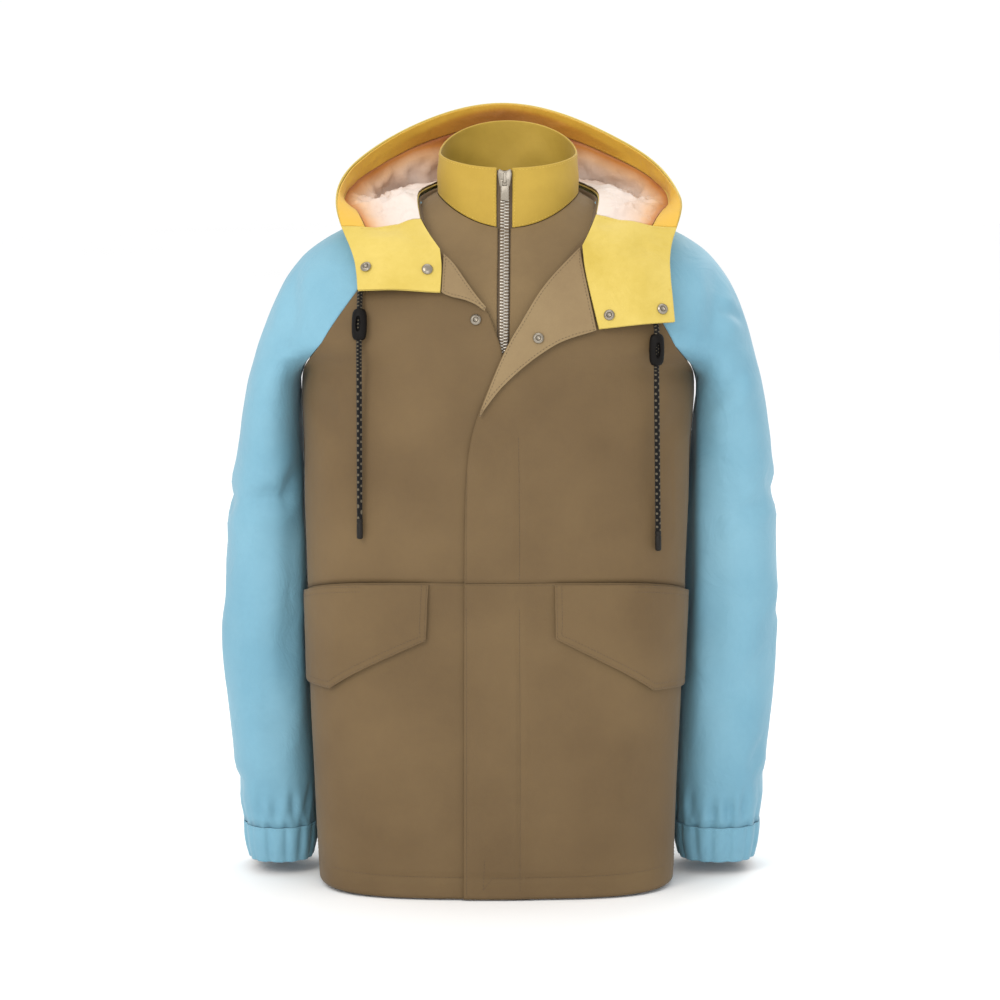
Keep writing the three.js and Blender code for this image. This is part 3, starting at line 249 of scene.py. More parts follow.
# Acetal, injection moulded: nearly black and dry, with little shine.
stopper_acetal = grained(
    "acetal_moulded_black", [(0.3, "#0b0908"), (0.7, "#13100e")], (0.45, 0.58), **MOULDED)
# Acetate, formed hot round the cord's end: charcoal, and a little smoother.
tip_plastic = grained("acetate_tip_charcoal", [(0.3, "#1c1a18"), (0.7, "#292724")], (0.35, 0.48), **MOULDED)

BRAID_PITCH = 5.8 * MM  # the braid's repeat along the cord, coarser than a real one so that its flecks show
BRAID_PAIRS = 4  # crossing bands round the cord


def braided_polyester(name):
    """Braided polyester: strands cross both ways round the cord, and light flecks show where they meet."""
    material, tree, output = new_material(name)
    place = add_node(tree, "ShaderNodeTexCoord")
    along = add_node(tree, "ShaderNodeSeparateXYZ", {"Vector": place.outputs["UV"]})
    strands = []
    for lean in (1, -1):
        turn = add_node(tree, "ShaderNodeMath", {
            0: along.outputs["X"], 1: lean * BRAID_PAIRS}, operation="MULTIPLY")
        phase = add_node(tree, "ShaderNodeMath", {
            0: along.outputs["Y"], 1: 2 / BRAID_PITCH, 2: turn.outputs[0]}, operation="MULTIPLY_ADD")
        wave = add_node(tree, "ShaderNodeMath", {0: phase.outputs[0], 1: math.pi}, operation="MULTIPLY")
        strands.append(add_node(tree, "ShaderNodeMath", {0: wave.outputs[0]}, operation="SINE"))
    crossing = add_node(tree, "ShaderNodeMath", {
        0: strands[0].outputs[0], 1: strands[1].outputs[0]}, operation="ADD")
    height = add_node(tree, "ShaderNodeMath", {0: crossing.outputs[0]}, operation="ABSOLUTE")
    colour = add_node(tree, "ShaderNodeValToRGB", {"Fac": crossing.outputs[0]},
                      stops=[(0.0, "#080605"), (0.88, "#120e0b"), (1.0, "#5e5646")])
    bump = add_node(tree, "ShaderNodeBump", {
        "Strength": 0.9, "Distance": 0.35 * MM, "Height": height.outputs[0]})
    finish_material(tree, output, colour, bump=bump, **{
        "Roughness": 0.8, "Specular IOR Level": 0.25, "Sheen Weight": 0.05, "Sheen Roughness": 0.5})
    return material


cord_polyester = braided_polyester("polyester_diamond_braid")

THREAD_PATCH = 4 * MM  # about one stitch


def sewing_thread(name, shades):
    """Core-spun polyester thread: a slight unevenness of colour along it."""
    material, tree, output = new_material(name)
    place = add_node(tree, "ShaderNodeTexCoord")
    patches = add_node(tree, "ShaderNodeTexNoise", {
        "Vector": place.outputs["Object"], "Scale": 1 / THREAD_PATCH})
    colour = add_node(tree, "ShaderNodeValToRGB", {"Fac": patches.outputs["Fac"]}, stops=shades)
    finish_material(tree, output, colour, **{"Roughness": 0.6, "Sheen Weight": 0.15})
    return material


# The brown thread is darker than the brown cloth: painted shade along the seams it sews.
thread_brown_painted_shade = sewing_thread("polyester_thread_brown_painted_shade", [(0.3, "#43331f"), (0.7, "#524029")])
thread_blue = sewing_thread("polyester_thread_blue", [(0.3, "#6fa9bf"), (0.7, "#7fb9ce")])
thread_yellow = sewing_thread("polyester_thread_yellow", [(0.3, "#c9a83e"), (0.7, "#dbbd55")])


# ---------------------------------------------------------------- pieces

def placed(name, mesh, material, body="garment", stands_for=(), second=None):
    """A finished mesh as a piece at the origin, riding on its body and standing for its CAD nodes."""
    piece = bpy.data.objects.new(name, mesh)
    mesh.materials.clear()
    for finish in filter(None, (material, second)):
        mesh.materials.append(finish)
    scene.collection.objects.link(piece)
    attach(piece, body)
    if stands_for:
        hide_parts(*stands_for)
    return piece


def mesh_of(name, shape, smooth=True):
    """The bmesh as a named mesh."""
    mesh = bpy.data.meshes.new(name)
    shape.to_mesh(mesh)
    shape.free()
    mesh.shade_smooth() if smooth else mesh.shade_flat()
    return mesh


def with_modifiers(mesh, *modifiers):
    """The mesh after these modifiers, each a kind and its settings."""
    carrier = bpy.data.objects.new("carrier", mesh)
    scene.collection.objects.link(carrier)
    for kind, settings in modifiers:
        modifier = carrier.modifiers.new(kind.lower(), kind)
        for key, value in settings.items():
            setattr(modifier, key, value)
    made = bpy.data.meshes.new_from_object(carrier.evaluated_get(bpy.context.evaluated_depsgraph_get()))
    bpy.data.objects.remove(carrier)
    return made


SORT_ALONG = Vector((1, 31.7, 997.3))  # a slant on which no two parts of a shape lie level


def in_order(shape):
    """Sorts a shape's parts by place, because some operators leave them in another order each run."""
    shape.verts.sort(key=lambda vert: vert.co.dot(SORT_ALONG))
    shape.edges.sort(key=lambda edge: (edge.verts[0].co + edge.verts[1].co).dot(SORT_ALONG))
    shape.faces.sort(key=lambda face: face.calc_center_median().dot(SORT_ALONG))


def node_shape(node):
    """A merged copy of a CAD node's mesh."""
    shape = bmesh.new()
    shape.from_mesh(bpy.data.objects[node].data)
    bmesh.ops.remove_doubles(shape, verts=shape.verts, dist=0.02 * MM)
    return shape


# ---------------------------------------------------------------- cords

# The cords' routes follow the CAD ones, top to bottom.
CORD_DIAMETER = 6 * MM
CORD_ROUTES_MM = {
    "right": [
        (-150.5, -91.3, -71), (-150.6, -95.3, -77.8), (-150.6, -99.4, -84.6), (-150.7, -103.4, -91.4),
        (-150.8, -107.5, -98.2), (-150.9, -111.4, -105.1), (-151, -114.8, -112.2), (-151, -116.9, -119.8),
        (-151.1, -119.1, -127.4), (-151.2, -121.3, -135), (-151.3, -123.5, -142.6), (-151.3, -125.8, -150.2),
        (-151.4, -126.7, -158), (-151.4, -126.7, -165.9), (-151.4, -126.7, -173.8), (-151.4, -126.8, -181.7),
        (-151.4, -127, -197.6), (-151.4, -127.2, -213.4), (-151.4, -127.4, -229.2), (-151.4, -127.7, -245.1),
        (-151.5, -127.9, -260.9), (-151.5, -128.1, -276.7), (-151.5, -128.3, -292.5),
        (-151.5, -128.6, -308.4),
        (-151.6, -128.9, -324.2), (-151.5, -129, -340)],
    "left": [
        (166.2, -114.9, -119.8), (166.8, -119.2, -125.1), (167.5, -123.5, -130.3), (168.1, -127.3, -136),
        (168.1, -127, -142.8), (168.2, -126.6, -149.6), (168.2, -126.2, -156.5), (168.2, -125.8, -163.3),
        (168.2, -125.4, -170.2), (168.2, -125, -177), (168.3, -124.6, -183.9), (168.5, -124, -197.6),
        (168.8, -123.3, -211.3), (169, -122.6, -224.9), (169.3, -121.9, -238.6), (169.6, -121.2, -252.3),
        (169.8, -120.5, -266), (170.1, -119.8, -279.7), (170.3, -119.1, -293.4), (170.6, -118.4, -307.1),
        (170.8, -117.7, -320.8), (171.1, -117, -334.5), (171.4, -116.3, -348.2), (171.5, -116, -355.1)],
}
# Profiles are (radius, height) in millimetres.
TIP_PROFILE_MM = [(0, 0), (2.85, 0), (3.35, 0.5), (3.35, 4), (3, 4.4), (3, 5.2), (3.35, 5.6), (3.35, 20.8),
                  (2.45, 21.8), (1.95, 22), (0, 22)]
TIP_GAP = 0.3 * MM  # from the cord's end to its tip
STOPPER_PROFILE_MM = [(0, -17.5), (3.4, -17.3), (5.9, -16.1), (7.4, -13.4), (8.1, -9), (8.4, 0), (8.1, 9),
                      (7.4, 13.4), (5.9, 16.1), (3.4, 17.3), (0, 17.5)]
STOPPER_FLATNESS = 0.72
SLOT_SIZE = (3.2 * MM, 7.4 * MM, 9.5 * MM)  # half the slot's width, depth and height
SLOT_DEPTH = 8.2 * MM  # from the stopper's middle out to the slot's
# Each stopper's middle in millimetres, the way its cord runs up through it, and the way its slot looks.
STOPPERS = {
    "right": [(-151.144, -120.104, -130.857), (0.0098, 0.2767, 0.9609), (-0.2605, -0.9271, 0.2696)],
    "left": [(168.171, -126.168, -157.367), (-0.0016, -0.0585, 0.9983), (0.2969, -0.9533, -0.0554)],
}


def turned(profile_mm, at, axis, steps=24):
    """A profile of (radius, height) points spun round an axis that starts at a point."""
    shape = bmesh.new()
    corners = [shape.verts.new((radius * MM, 0, height * MM)) for radius, height in profile_mm]
    edges = [shape.edges.new(pair) for pair in zip(corners, corners[1:])]
    bmesh.ops.spin(shape, geom=corners + edges, cent=(0, 0, 0), axis=(0, 0, 1), angle=2 * math.pi,
                   steps=steps, use_merge=True)
    bmesh.ops.remove_doubles(shape, verts=shape.verts, dist=0.001 * MM)
    bmesh.ops.recalc_face_normals(shape, faces=shape.faces)
    turn = Vector((0, 0, 1)).rotation_difference(Vector(axis)).to_matrix().to_4x4()
    bmesh.ops.transform(shape, matrix=Matrix.Translation(at) @ turn, verts=shape.verts)
    return shape


def braided_cord(name, points):
    """A cord's round surface along its route, with UV x once round it and UV y its length in metres."""
    curve = bpy.data.curves.new(name, "CURVE")
    curve.dimensions = "3D"
    curve.bevel_depth = CORD_DIAMETER / 2
    curve.bevel_resolution = 3
    curve.use_fill_caps = True
    line = curve.splines.new("NURBS")
    line.points.add(len(points) - 1)
    for spline_point, place in zip(line.points, points):
        spline_point.co = (*place, 1)
    line.order_u = 3
    line.use_endpoint_u = True
    line.resolution_u = 3
    carrier = bpy.data.objects.new(name, curve)
    scene.collection.objects.link(carrier)
    mesh = bpy.data.meshes.new_from_object(carrier.evaluated_get(bpy.context.evaluated_depsgraph_get()))
    bpy.data.objects.remove(carrier)
    length = sum((b - a).length for a, b in zip(points, points[1:]))
    for corner in mesh.uv_layers[0].data:
        corner.uv = (corner.uv.y, corner.uv.x * length)
    return mesh, length


def stopper_with_window(name, middle, axis, facing):
    """A moulded oval stopper, flattened towards its face, with a slot there that shows the cord."""
    turn = Matrix(((-facing).cross(axis), -facing, axis)).transposed().to_4x4()
    body = turned(STOPPER_PROFILE_MM, (0, 0, 0), (0, 0, 1), 40)
    bmesh.ops.scale(body, vec=(1, STOPPER_FLATNESS, 1), verts=body.verts)
    bmesh.ops.transform(body, matrix=Matrix.Translation(middle) @ turn, verts=body.verts)
    slot = bmesh.new()
    bmesh.ops.create_uvsphere(slot, u_segments=20, v_segments=12, radius=1)
    bmesh.ops.scale(slot, vec=SLOT_SIZE, verts=slot.verts)
    bmesh.ops.transform(slot, matrix=Matrix.Translation(middle + facing * SLOT_DEPTH) @ turn,
                        verts=slot.verts)
    cutter = bpy.data.objects.new("cutter", mesh_of("cutter", slot))
    scene.collection.objects.link(cutter)
    cut = bmesh.new()
    cut.from_mesh(with_modifiers(mesh_of(name, body), ("BOOLEAN", {
        "operation": "DIFFERENCE", "object": cutter, "solver": "EXACT"})))
    bpy.data.objects.remove(cutter)
    in_order(cut)
    return mesh_of(name, cut)


for side, route in CORD_ROUTES_MM.items():
    points = [Vector(p) * MM for p in route]
    down = (points[-1] - points[-3]).normalized()
    tip = placed(f"cord_tip_{side}_moulded",
                 mesh_of("tip", turned(TIP_PROFILE_MM, points[-1] + down * TIP_GAP, down)),
                 tip_plastic, stands_for=[f"cord_tip_{side}"])
    middle, axis, facing = (Vector(v) for v in STOPPERS[side])
    oval = stopper_with_window(f"stopper_{side}", middle * MM, axis.normalized(), facing.normalized())
    stopper = placed(f"cord_stopper_{side}_moulded", oval, stopper_acetal,
                     stands_for=[f"cord_stopper_{side}"])
    mesh, length = braided_cord(f"cord_{side}_braided", points)
    cord = placed(f"cord_{side}_braided", mesh, cord_polyester, stands_for=[f"cord_{side}"])


# ---------------------------------------------------------------- cloth

SHEET_ANGLE = math.radians(60)  # faces that meet more sharply than this are on different sheets
WELD = 0.9 * MM  # edges of neighbouring nodes closer than this are one seam


def outer_quads(node, thickness):
    """The outer face of a cloth node's wall: of its two large sheets of faces, the one without the rims."""
    shape = node_shape(node)
    unseen, sheets = dict.fromkeys(shape.faces), []
    while unseen:
        sheet = [unseen.popitem()[0]]
        for face in sheet:
            for other in (other for edge in face.edges for other in edge.link_faces):
                if other in unseen and face.normal.angle(other.normal, 0) < SHEET_ANGLE:
                    del unseen[other]
                    sheet.append(other)
        sheets.append(sheet)
    largest = sorted(sheets, key=lambda sheet: -sum(face.calc_area() for face in sheet))[:2]
    chosen = dict.fromkeys(min((sheet for sheet in largest if len(sheet) % 2 == 0), key=len))
    side = sum(face.normal.dot(outward(node, face.calc_center_median())) * face.calc_area()
               for face in chosen)
    bmesh.ops.delete(shape, geom=[face for face in shape.faces if face not in chosen], context="FACES")
    if side < 0:
        bmesh.ops.reverse_faces(shape, faces=shape.faces)
        shape.normal_update()
        for vert in shape.verts:
            vert.co += vert.normal * thickness
    bmesh.ops.join_triangles(shape, faces=shape.faces, angle_face_threshold=3.1, angle_shape_threshold=3.1,
                             cmp_seam=False)
    return shape


def one_sheet(nodes, thickness):
    """These nodes' outer faces as one sheet, joined where they meet, with its corners kept sharp."""
    sheet = bmesh.new()
    for node in nodes:
        sheet.from_mesh(mesh_of(node, outer_quads(node, thickness)))
    if len(nodes) > 1:
        bmesh.ops.remove_doubles(sheet, verts=[v for v in sheet.verts if v.is_boundary], dist=WELD)
    creases = sheet.verts.layers.float.new("crease_vert")
    for vert in sheet.verts:
        rim = [edge for edge in vert.link_edges if edge.is_boundary]
        if len(rim) == 2:
            a, b = (edge.other_vert(vert).co - vert.co for edge in rim)
            corner = math.radians(42 if "hood" in nodes[0] else 24)
            vert[creases] = 1.0 if a.angle(-b, 0) > corner else 0.0
    return sheet


TRUNK_MIDDLE = Vector((0, 0, -0.35))
HOOD_MIDDLE = Vector((0.009, 0.04, 0.4))
UPPER_SLEEVE_X, LOWER_SLEEVE_X = 0.22, 0.25
ELBOW_Z = -0.3


def outward(node, place):
    """The way out of the garment at a place on a node's wall."""
    if node.startswith(("hood", "chin_facing")):
        return place - HOOD_MIDDLE
    if node.startswith(("sleeve", "cuff")):
        middle = LOWER_SLEEVE_X if place.z < ELBOW_Z else UPPER_SLEEVE_X
        return Vector((place.x - middle * (1 if node.endswith("left") else -1), place.y, 0))
    return place - TRUNK_MIDDLE


def lay_flat(shape, axis_x, axis_y):
    """Gives the cloth a UV map in metres, round an upright axis and up it, that the yarns follow."""
    uv = shape.loops.layers.uv.get("UVMap") or shape.loops.layers.uv.new("UVMap")
    reach = sum(math.hypot(v.co.x - axis_x, v.co.y - axis_y) for v in shape.verts)
    radius = max(0.02, reach / len(shape.verts))
    for face in shape.faces:
        middle = face.calc_center_median()
        around = math.atan2(middle.x - axis_x, axis_y - middle.y)
        for loop in face.loops:
            turn = math.atan2(loop.vert.co.x - axis_x, axis_y - loop.vert.co.y) - around
            turn = (turn + math.pi) % (2 * math.pi) - math.pi
            loop[uv].uv = ((around + turn) * radius, loop.vert.co.z)


# Each side's two axes across it, and the way in.
SIDES = {"front": ("xz", (0, 1, 0)), "back": ("xz", (0, -1, 0)),
         "left": ("yz", (-1, 0, 0)), "right": ("yz", (1, 0, 0))}
# Folds by the side they are seen from: a line on that side's axes, how far it stands out (+) or sinks in (-),
# and its half width, in millimetres.
HEM_ROW = [(x, -736) for x in range(-196, 200, 28)]
FOLDS_MM = {
    "sleeves": {
        "front": [
            ([(-230, -72), (-228, -112), (-228, -150)], -2.4, 13), ([(-247, -153), (-228, -159)], -1.6, 8),
            ([(-287, -338), (-263, -330), (-237, -327), (-223, -298)], -3.5, 11),
            ([(-219, -190), (-218, -260), (-222, -340), (-222, -432), (-223, -600)], 1.8, 13),
            ([(-281, -505), (-264, -465), (-236, -432)], 1.6, 24),
            ([(-276, -570), (-254, -583), (-232, -606)], -1.4, 17),
            ([(-284, -649), (-262, -663), (-239, -667)], -1.6, 9), ([(-271, -667), (-270, -701)], -1.8, 5),
            ([(-251, -675), (-254, -702)], -2, 5), ([(-232, -665), (-231, -702)], -1.8, 5),
            ([(-214, -662), (-218, -703)], -1.6, 5), ([(242, -66), (236, -112), (232, -156)], -2.4, 13),
            ([(241, -117), (266, -129)], -1.6, 8), ([(272, -187), (245, -208), (222, -222)], -2.6, 11),
            ([(299, -334), (282, -337), (264, -345)], -2, 9),
            ([(219, -200), (220, -300), (222, -409), (221, -488), (222, -600)], 1.8, 13),
            ([(297, -450), (271, -488), (247, -520)], 1.4, 24),
            ([(225, -562), (262, -549), (293, -531)], -1.4, 18), ([(300, -605), (282, -639)], -1.6, 9),
            ([(213, -670), (210, -707)], -1.8, 5), ([(238, -679), (240, -707)], -1.6, 5),
            ([(255, -672), (259, -707)], -2, 5), ([(277, -662), (273, -706)], -1.8, 5)],
        "back": [
            ([(-226, -90), (-222, -150), (-214, -226)], -3.2, 15),
            ([(228, -84), (226, -160), (216, -232)], -3, 14),
            ([(-262, -216), (-240, -236), (-224, -262)], -2.6, 12),
            ([(266, -224), (246, -246), (226, -258)], -2.4, 11),
            ([(-284, -350), (-258, -362), (-232, -352)], -3, 13),
            ([(286, -338), (262, -356), (236, -360)], -3.2, 12),
            ([(-276, -420), (-250, -448), (-238, -500)], 1.8, 22),
            ([(284, -430), (256, -470), (244, -540)], 1.6, 22),
            ([(-280, -590), (-256, -604), (-236, -598)], -1.8, 14),
            ([(284, -610), (258, -600), (238, -618)], -1.8, 14), ([(-268, -668), (-266, -702)], -1.8, 5),
            ([(-240, -664), (-242, -702)], -1.8, 5), ([(234, -672), (236, -706)], -1.8, 5),
            ([(264, -666), (260, -706)], -1.8, 5)],
        "left": [
            ([(-44, -310), (0, -330), (36, -322)], -2.6, 13),
            ([(-30, -420), (2, -470), (10, -560)], 1.8, 22), ([(40, -400), (22, -448), (-8, -462)], -2, 12),
            ([(-34, -646), (-2, -660), (26, -650)], -1.8, 11)],
        "right": [
            ([(-40, -330), (0, -342), (40, -318)], -2.6, 13),
            ([(-34, -430), (-4, -480), (6, -560)], 1.8, 22), ([(42, -380), (26, -432), (-4, -456)], -2, 12),
            ([(-30, -652), (4, -662), (30, -646)], -1.8, 11)],
    },
    "body": {
        "front": [
            ([(-201, -215), (-175, -248), (-160, -322)], -1.6, 15),
            ([(201, -226), (171, -263), (155, -344)], -1.6, 15),
            ([(-107, -168), (-123, -255), (-117, -363)], -1.2, 38),
            ([(118, -190), (131, -287), (113, -385)], -1.2, 38),
            ([(-162, -540), (-175, -620), (-159, -722)], -1.4, 30),
            ([(-87, -532), (-75, -632), (-82, -731)], -1.3, 36),
            ([(52, -516), (44, -632), (62, -731)], -1.4, 38),
            ([(154, -546), (168, -647), (155, -733)], -1.4, 28),
            ([(-6, -244), (0, -342), (-4, -396)], -0.9, 26), (HEM_ROW, -0.8, 3),
            ([(20, -246), (21, -340), (21, -432)], -0.6, 3),
            ([(21, -434), (22, -590), (22, -756)], -0.6, 3)],
        "back": [
            (HEM_ROW, -0.6, 3), ([(-196, -222), (-166, -262), (-150, -350)], -3, 16),
            ([(196, -228), (160, -270), (150, -362)], -3, 16),
            ([(-90, -150), (-60, -210), (-64, -300)], 1.8, 32),
            ([(84, -140), (66, -226), (58, -320)], -2, 30),
            ([(-130, -440), (-118, -560), (-136, -730)], -2.4, 34),
            ([(-40, -480), (-30, -600), (-44, -740)], 2, 36),
            ([(60, -460), (52, -590), (70, -736)], -2.2, 34),
            ([(140, -430), (150, -560), (140, -728)], 1.8, 30),
            ([(-20, -330), (10, -372), (60, -392)], -1.6, 20)],
        "left": [
            ([(-40, -250), (-20, -330), (-28, -420)], -2.2, 18),
            ([(30, -240), (22, -340), (36, -430)], -2.2, 18), ([(0, -470), (8, -600), (-6, -730)], -2, 26)],
        "right": [
            ([(-36, -250), (-18, -330), (-30, -430)], -2.2, 18),
            ([(34, -236), (20, -350), (30, -440)], -2.2, 18), ([(4, -480), (-6, -610), (8, -730)], -2, 26)],
    },
    "hood": {
        "back": [
            ([(0, 84), (-6, 40), (4, -20)], -5, 20), ([(9, 98), (8, 50), (7, 0), (6, -60)], -1.4, 3),
            ([(60, 70), (44, 20), (36, -30)], 3, 22), ([(-62, 66), (-50, 16), (-34, -34)], 3, 22),
            ([(110, 40), (80, -6), (64, -40)], -4, 16), ([(-112, 36), (-84, -10), (-60, -42)], -4, 16),
            ([(150, 0), (120, -24), (90, -30)], 3, 16), ([(-150, -2), (-122, -28), (-92, -34)], 3, 16),
            ([(-90, 70), (0, 62), (92, 72)], -3, 14)],
        "left": [
            ([(-40, 0), (0, 20), (60, 24)], -3.5, 13), ([(-20, -50), (20, -30), (80, -26)], -3, 13)],
        "right": [
            ([(-44, -2), (0, 16), (58, 20)], -3.5, 13), ([(-24, -54), (20, -34), (76, -30)], -3, 13)],
        "front": [
            ([(88, -6), (112, -22), (146, -18)], 2.8, 9), ([(104, -70), (134, -66), (164, -42)], 2.4, 12),
            ([(-150, 14), (-120, 2), (-84, 6)], 2.6, 9), ([(-150, -30), (-118, -26), (-92, -12)], 2.2, 9)],
    },
    "collar": {
        "front": [
            ([(-58, 60), (-40, 44), (-34, 14)], -1.1, 12), ([(30, 58), (46, 40), (64, 34)], -1.1, 12),
            ([(22, 8), (44, 22), (72, 12)], 0.8, 10)],
        "back": [
            ([(-50, 60), (-20, 40), (-30, 10)], -1.4, 13), ([(52, 62), (30, 38), (40, 12)], -1.4, 13)],
        "left": [
            ([(-20, 60), (4, 40), (30, 44)], -1.2, 12)],
        "right": [
            ([(-16, 40), (6, 50), (34, 30)], -1.2, 12)],
    },
}


def laid_on(surface, side, line, spots_each):
    """The places where a line in millimetres, drawn on a side's two axes, meets a surface."""
    plane, inward = SIDES[side]
    inward = Vector(inward)
    places = []
    for share in np.linspace(0, len(line) - 1, spots_each * len(line)):
        k = min(int(share), len(line) - 2)
        a, b = (np.array(point) * MM for point in line[k:k + 2])
        across, up = a + (b - a) * (share - k)
        start = Vector((across, 0, up)) if plane == "xz" else Vector((0, across, up))
        hit = surface.ray_cast(start - inward, inward)[0]
        if hit:
            places.append(hit)
    return places


def traced(nodes, folds):
    """Each fold's line laid on the CAD surfaces that it crosses, with its height and half width."""
    corners, faces = [], []
    for mesh in (bpy.data.objects[node].data for node in nodes):
        start = len(corners)
        corners += [v.co.copy() for v in mesh.vertices]
        faces += [[start + i for i in p.vertices] for p in mesh.polygons]
    surface = BVHTree.FromPolygons(corners, faces)
    rows = [(laid_on(surface, side, line, 4), height, width)
            for side, lines in folds.items() for line, height, width in lines]
    return [(np.array(places), height * MM, width * MM) for places, height, width in rows if len(places) > 1]


SHELL = ["front_right_upper", "front_right_lower", "front_left_upper", "front_left_lower", "back"]
SLEEVES = ["sleeve_right", "sleeve_left"]
HOOD = ["hood_right", "hood_left", "chin_facing_right", "chin_facing_left"]
FOLD_LINES = {
    "body": traced(SHELL, FOLDS_MM["body"]),
    "sleeves": traced(SLEEVES, FOLDS_MM["sleeves"]),
    "hood": traced(HOOD, FOLDS_MM["hood"]),
    "collar": traced(["collar"], FOLDS_MM["collar"]),
}
CORD_LINE = np.array([p for route in CORD_ROUTES_MM.values() for p in route]) * MM


def fold_heights(places, lines):
    """How far each place stands out for these folds: a soft crest or trough with a gentler bank beside it."""
    total = np.zeros(len(places))
    for line, height, width in lines:
        off = np.abs(places[:, None, :] - line[None, :, :]).max(axis=2)
        near = np.where(np.min(off, axis=1) < 4 * width + 0.03)[0]
        if not len(near):
            continue
        spot = places[near]
        best = np.full(len(near), 1e9)
        share = np.zeros(len(near))
        for k, (a, b) in enumerate(zip(line, line[1:])):
            along = b - a
            t = np.clip(((spot - a) @ along) / (along @ along), 0, 1)
            distance = np.linalg.norm(spot - (a + t[:, None] * along), axis=1)
            closer = distance < best
            best[closer], share[closer] = distance[closer], (k + t[closer]) / (len(line) - 1)
        fade = np.sin(np.pi * np.clip(share, 0.02, 0.98)) ** 0.6
        bank = np.exp(-((best - 1.9 * width) / (0.9 * width)) ** 2)
        total[near] += height * fade * (np.exp(-(best / width) ** 2) - 0.28 * bank)
    return total


def swell(places, size, height):
    """Soft uneven rises and hollows of about one size."""
    return np.array([noise.noise(Vector(p) / size) for p in places]) * height


def rim_tree(mesh, edges_only=True):
    """A search tree of the places on a sheet's edges, or all over it."""
    shape = bmesh.new()
    shape.from_mesh(mesh)
    rim = [v for v in shape.verts if v.is_boundary or not edges_only]
    tree = KDTree(len(rim))
    for vert in rim:
        tree.insert(vert.co, vert.index)
    tree.balance()
    shape.free()
    return tree


# The pleats that the elastic draws in round each wrist: how far round from the front in degrees, their depth,
# their half width and how far they run up the sleeve, in millimetres.
GATHERS_MM = [
    (-172, 2.2, 4.2, 34), (-146, 1.5, 3.4, 20), (-121, 2.6, 4.6, 46), (-97, 1.8, 3.6, 26),
    (-70, 2.4, 4.2, 38),
    (-50, 1.6, 3.2, 18), (-29, 2.6, 4.4, 50), (-9, 1.8, 3.4, 24), (12, 2.4, 4.0, 34), (35, 1.6, 3.2, 18),
    (54, 2.6, 4.4, 42), (80, 1.9, 3.8, 26), (105, 2.5, 4.4, 40), (131, 1.7, 3.6, 22), (157, 2.5, 4.4, 44)]


def gathers(places, side):
    """How far the cloth is drawn in at the wrist's pleats."""
    low_corner, high_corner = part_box(f"cuff_{side}")
    across = (places[:, 0] - (low_corner[0] + high_corner[0]) / 2) * (1 if side == "left" else -1)
    forward = (low_corner[1] + high_corner[1]) / 2 - places[:, 1]
    above = places[:, 2] - high_corner[2]
    radius = np.hypot(across, forward)
    total = np.zeros(len(places))
    for turn, depth, half_width, rise in GATHERS_MM:
        off = np.arctan2(across, forward) - math.radians(turn) + 0.9 * above * math.sin(turn)
        off = (off + math.pi) % (2 * math.pi) - math.pi
        fade = np.where(above > 0, np.exp(-(above / (rise * MM)) ** 2), 0.8)
        widen = half_width * MM * (1 + np.maximum(above, 0) / 0.05)
        total -= depth * MM * fade * np.exp(-(off * radius / widen) ** 2)
    return total


CRUMPLE, CREASE = 34 * MM, 15 * MM  # how far apart the lining's large and small folds are


def crumpled(places, height):
    """Sharp-crested little folds of soft thin cloth, all on one side."""
    crests = np.array([abs(noise.noise(Vector(p) / CRUMPLE)) + 0.4 * abs(noise.noise(Vector(p) / CREASE))
                       for p in places])
    return -height * np.clip(1 - 2.6 * crests, 0, 1)


EDGE_TREES = {}  # a search tree of each sheet's edges, before its folds
HELD_EDGE = 9 * MM  # a seam holds its cloth flat for about this far
PUCKER_REACH = 16 * MM  # and puckers it for about this far
CORD_ROOM = 30 * MM  # the fronts stay flat this near the cords, which lie on them


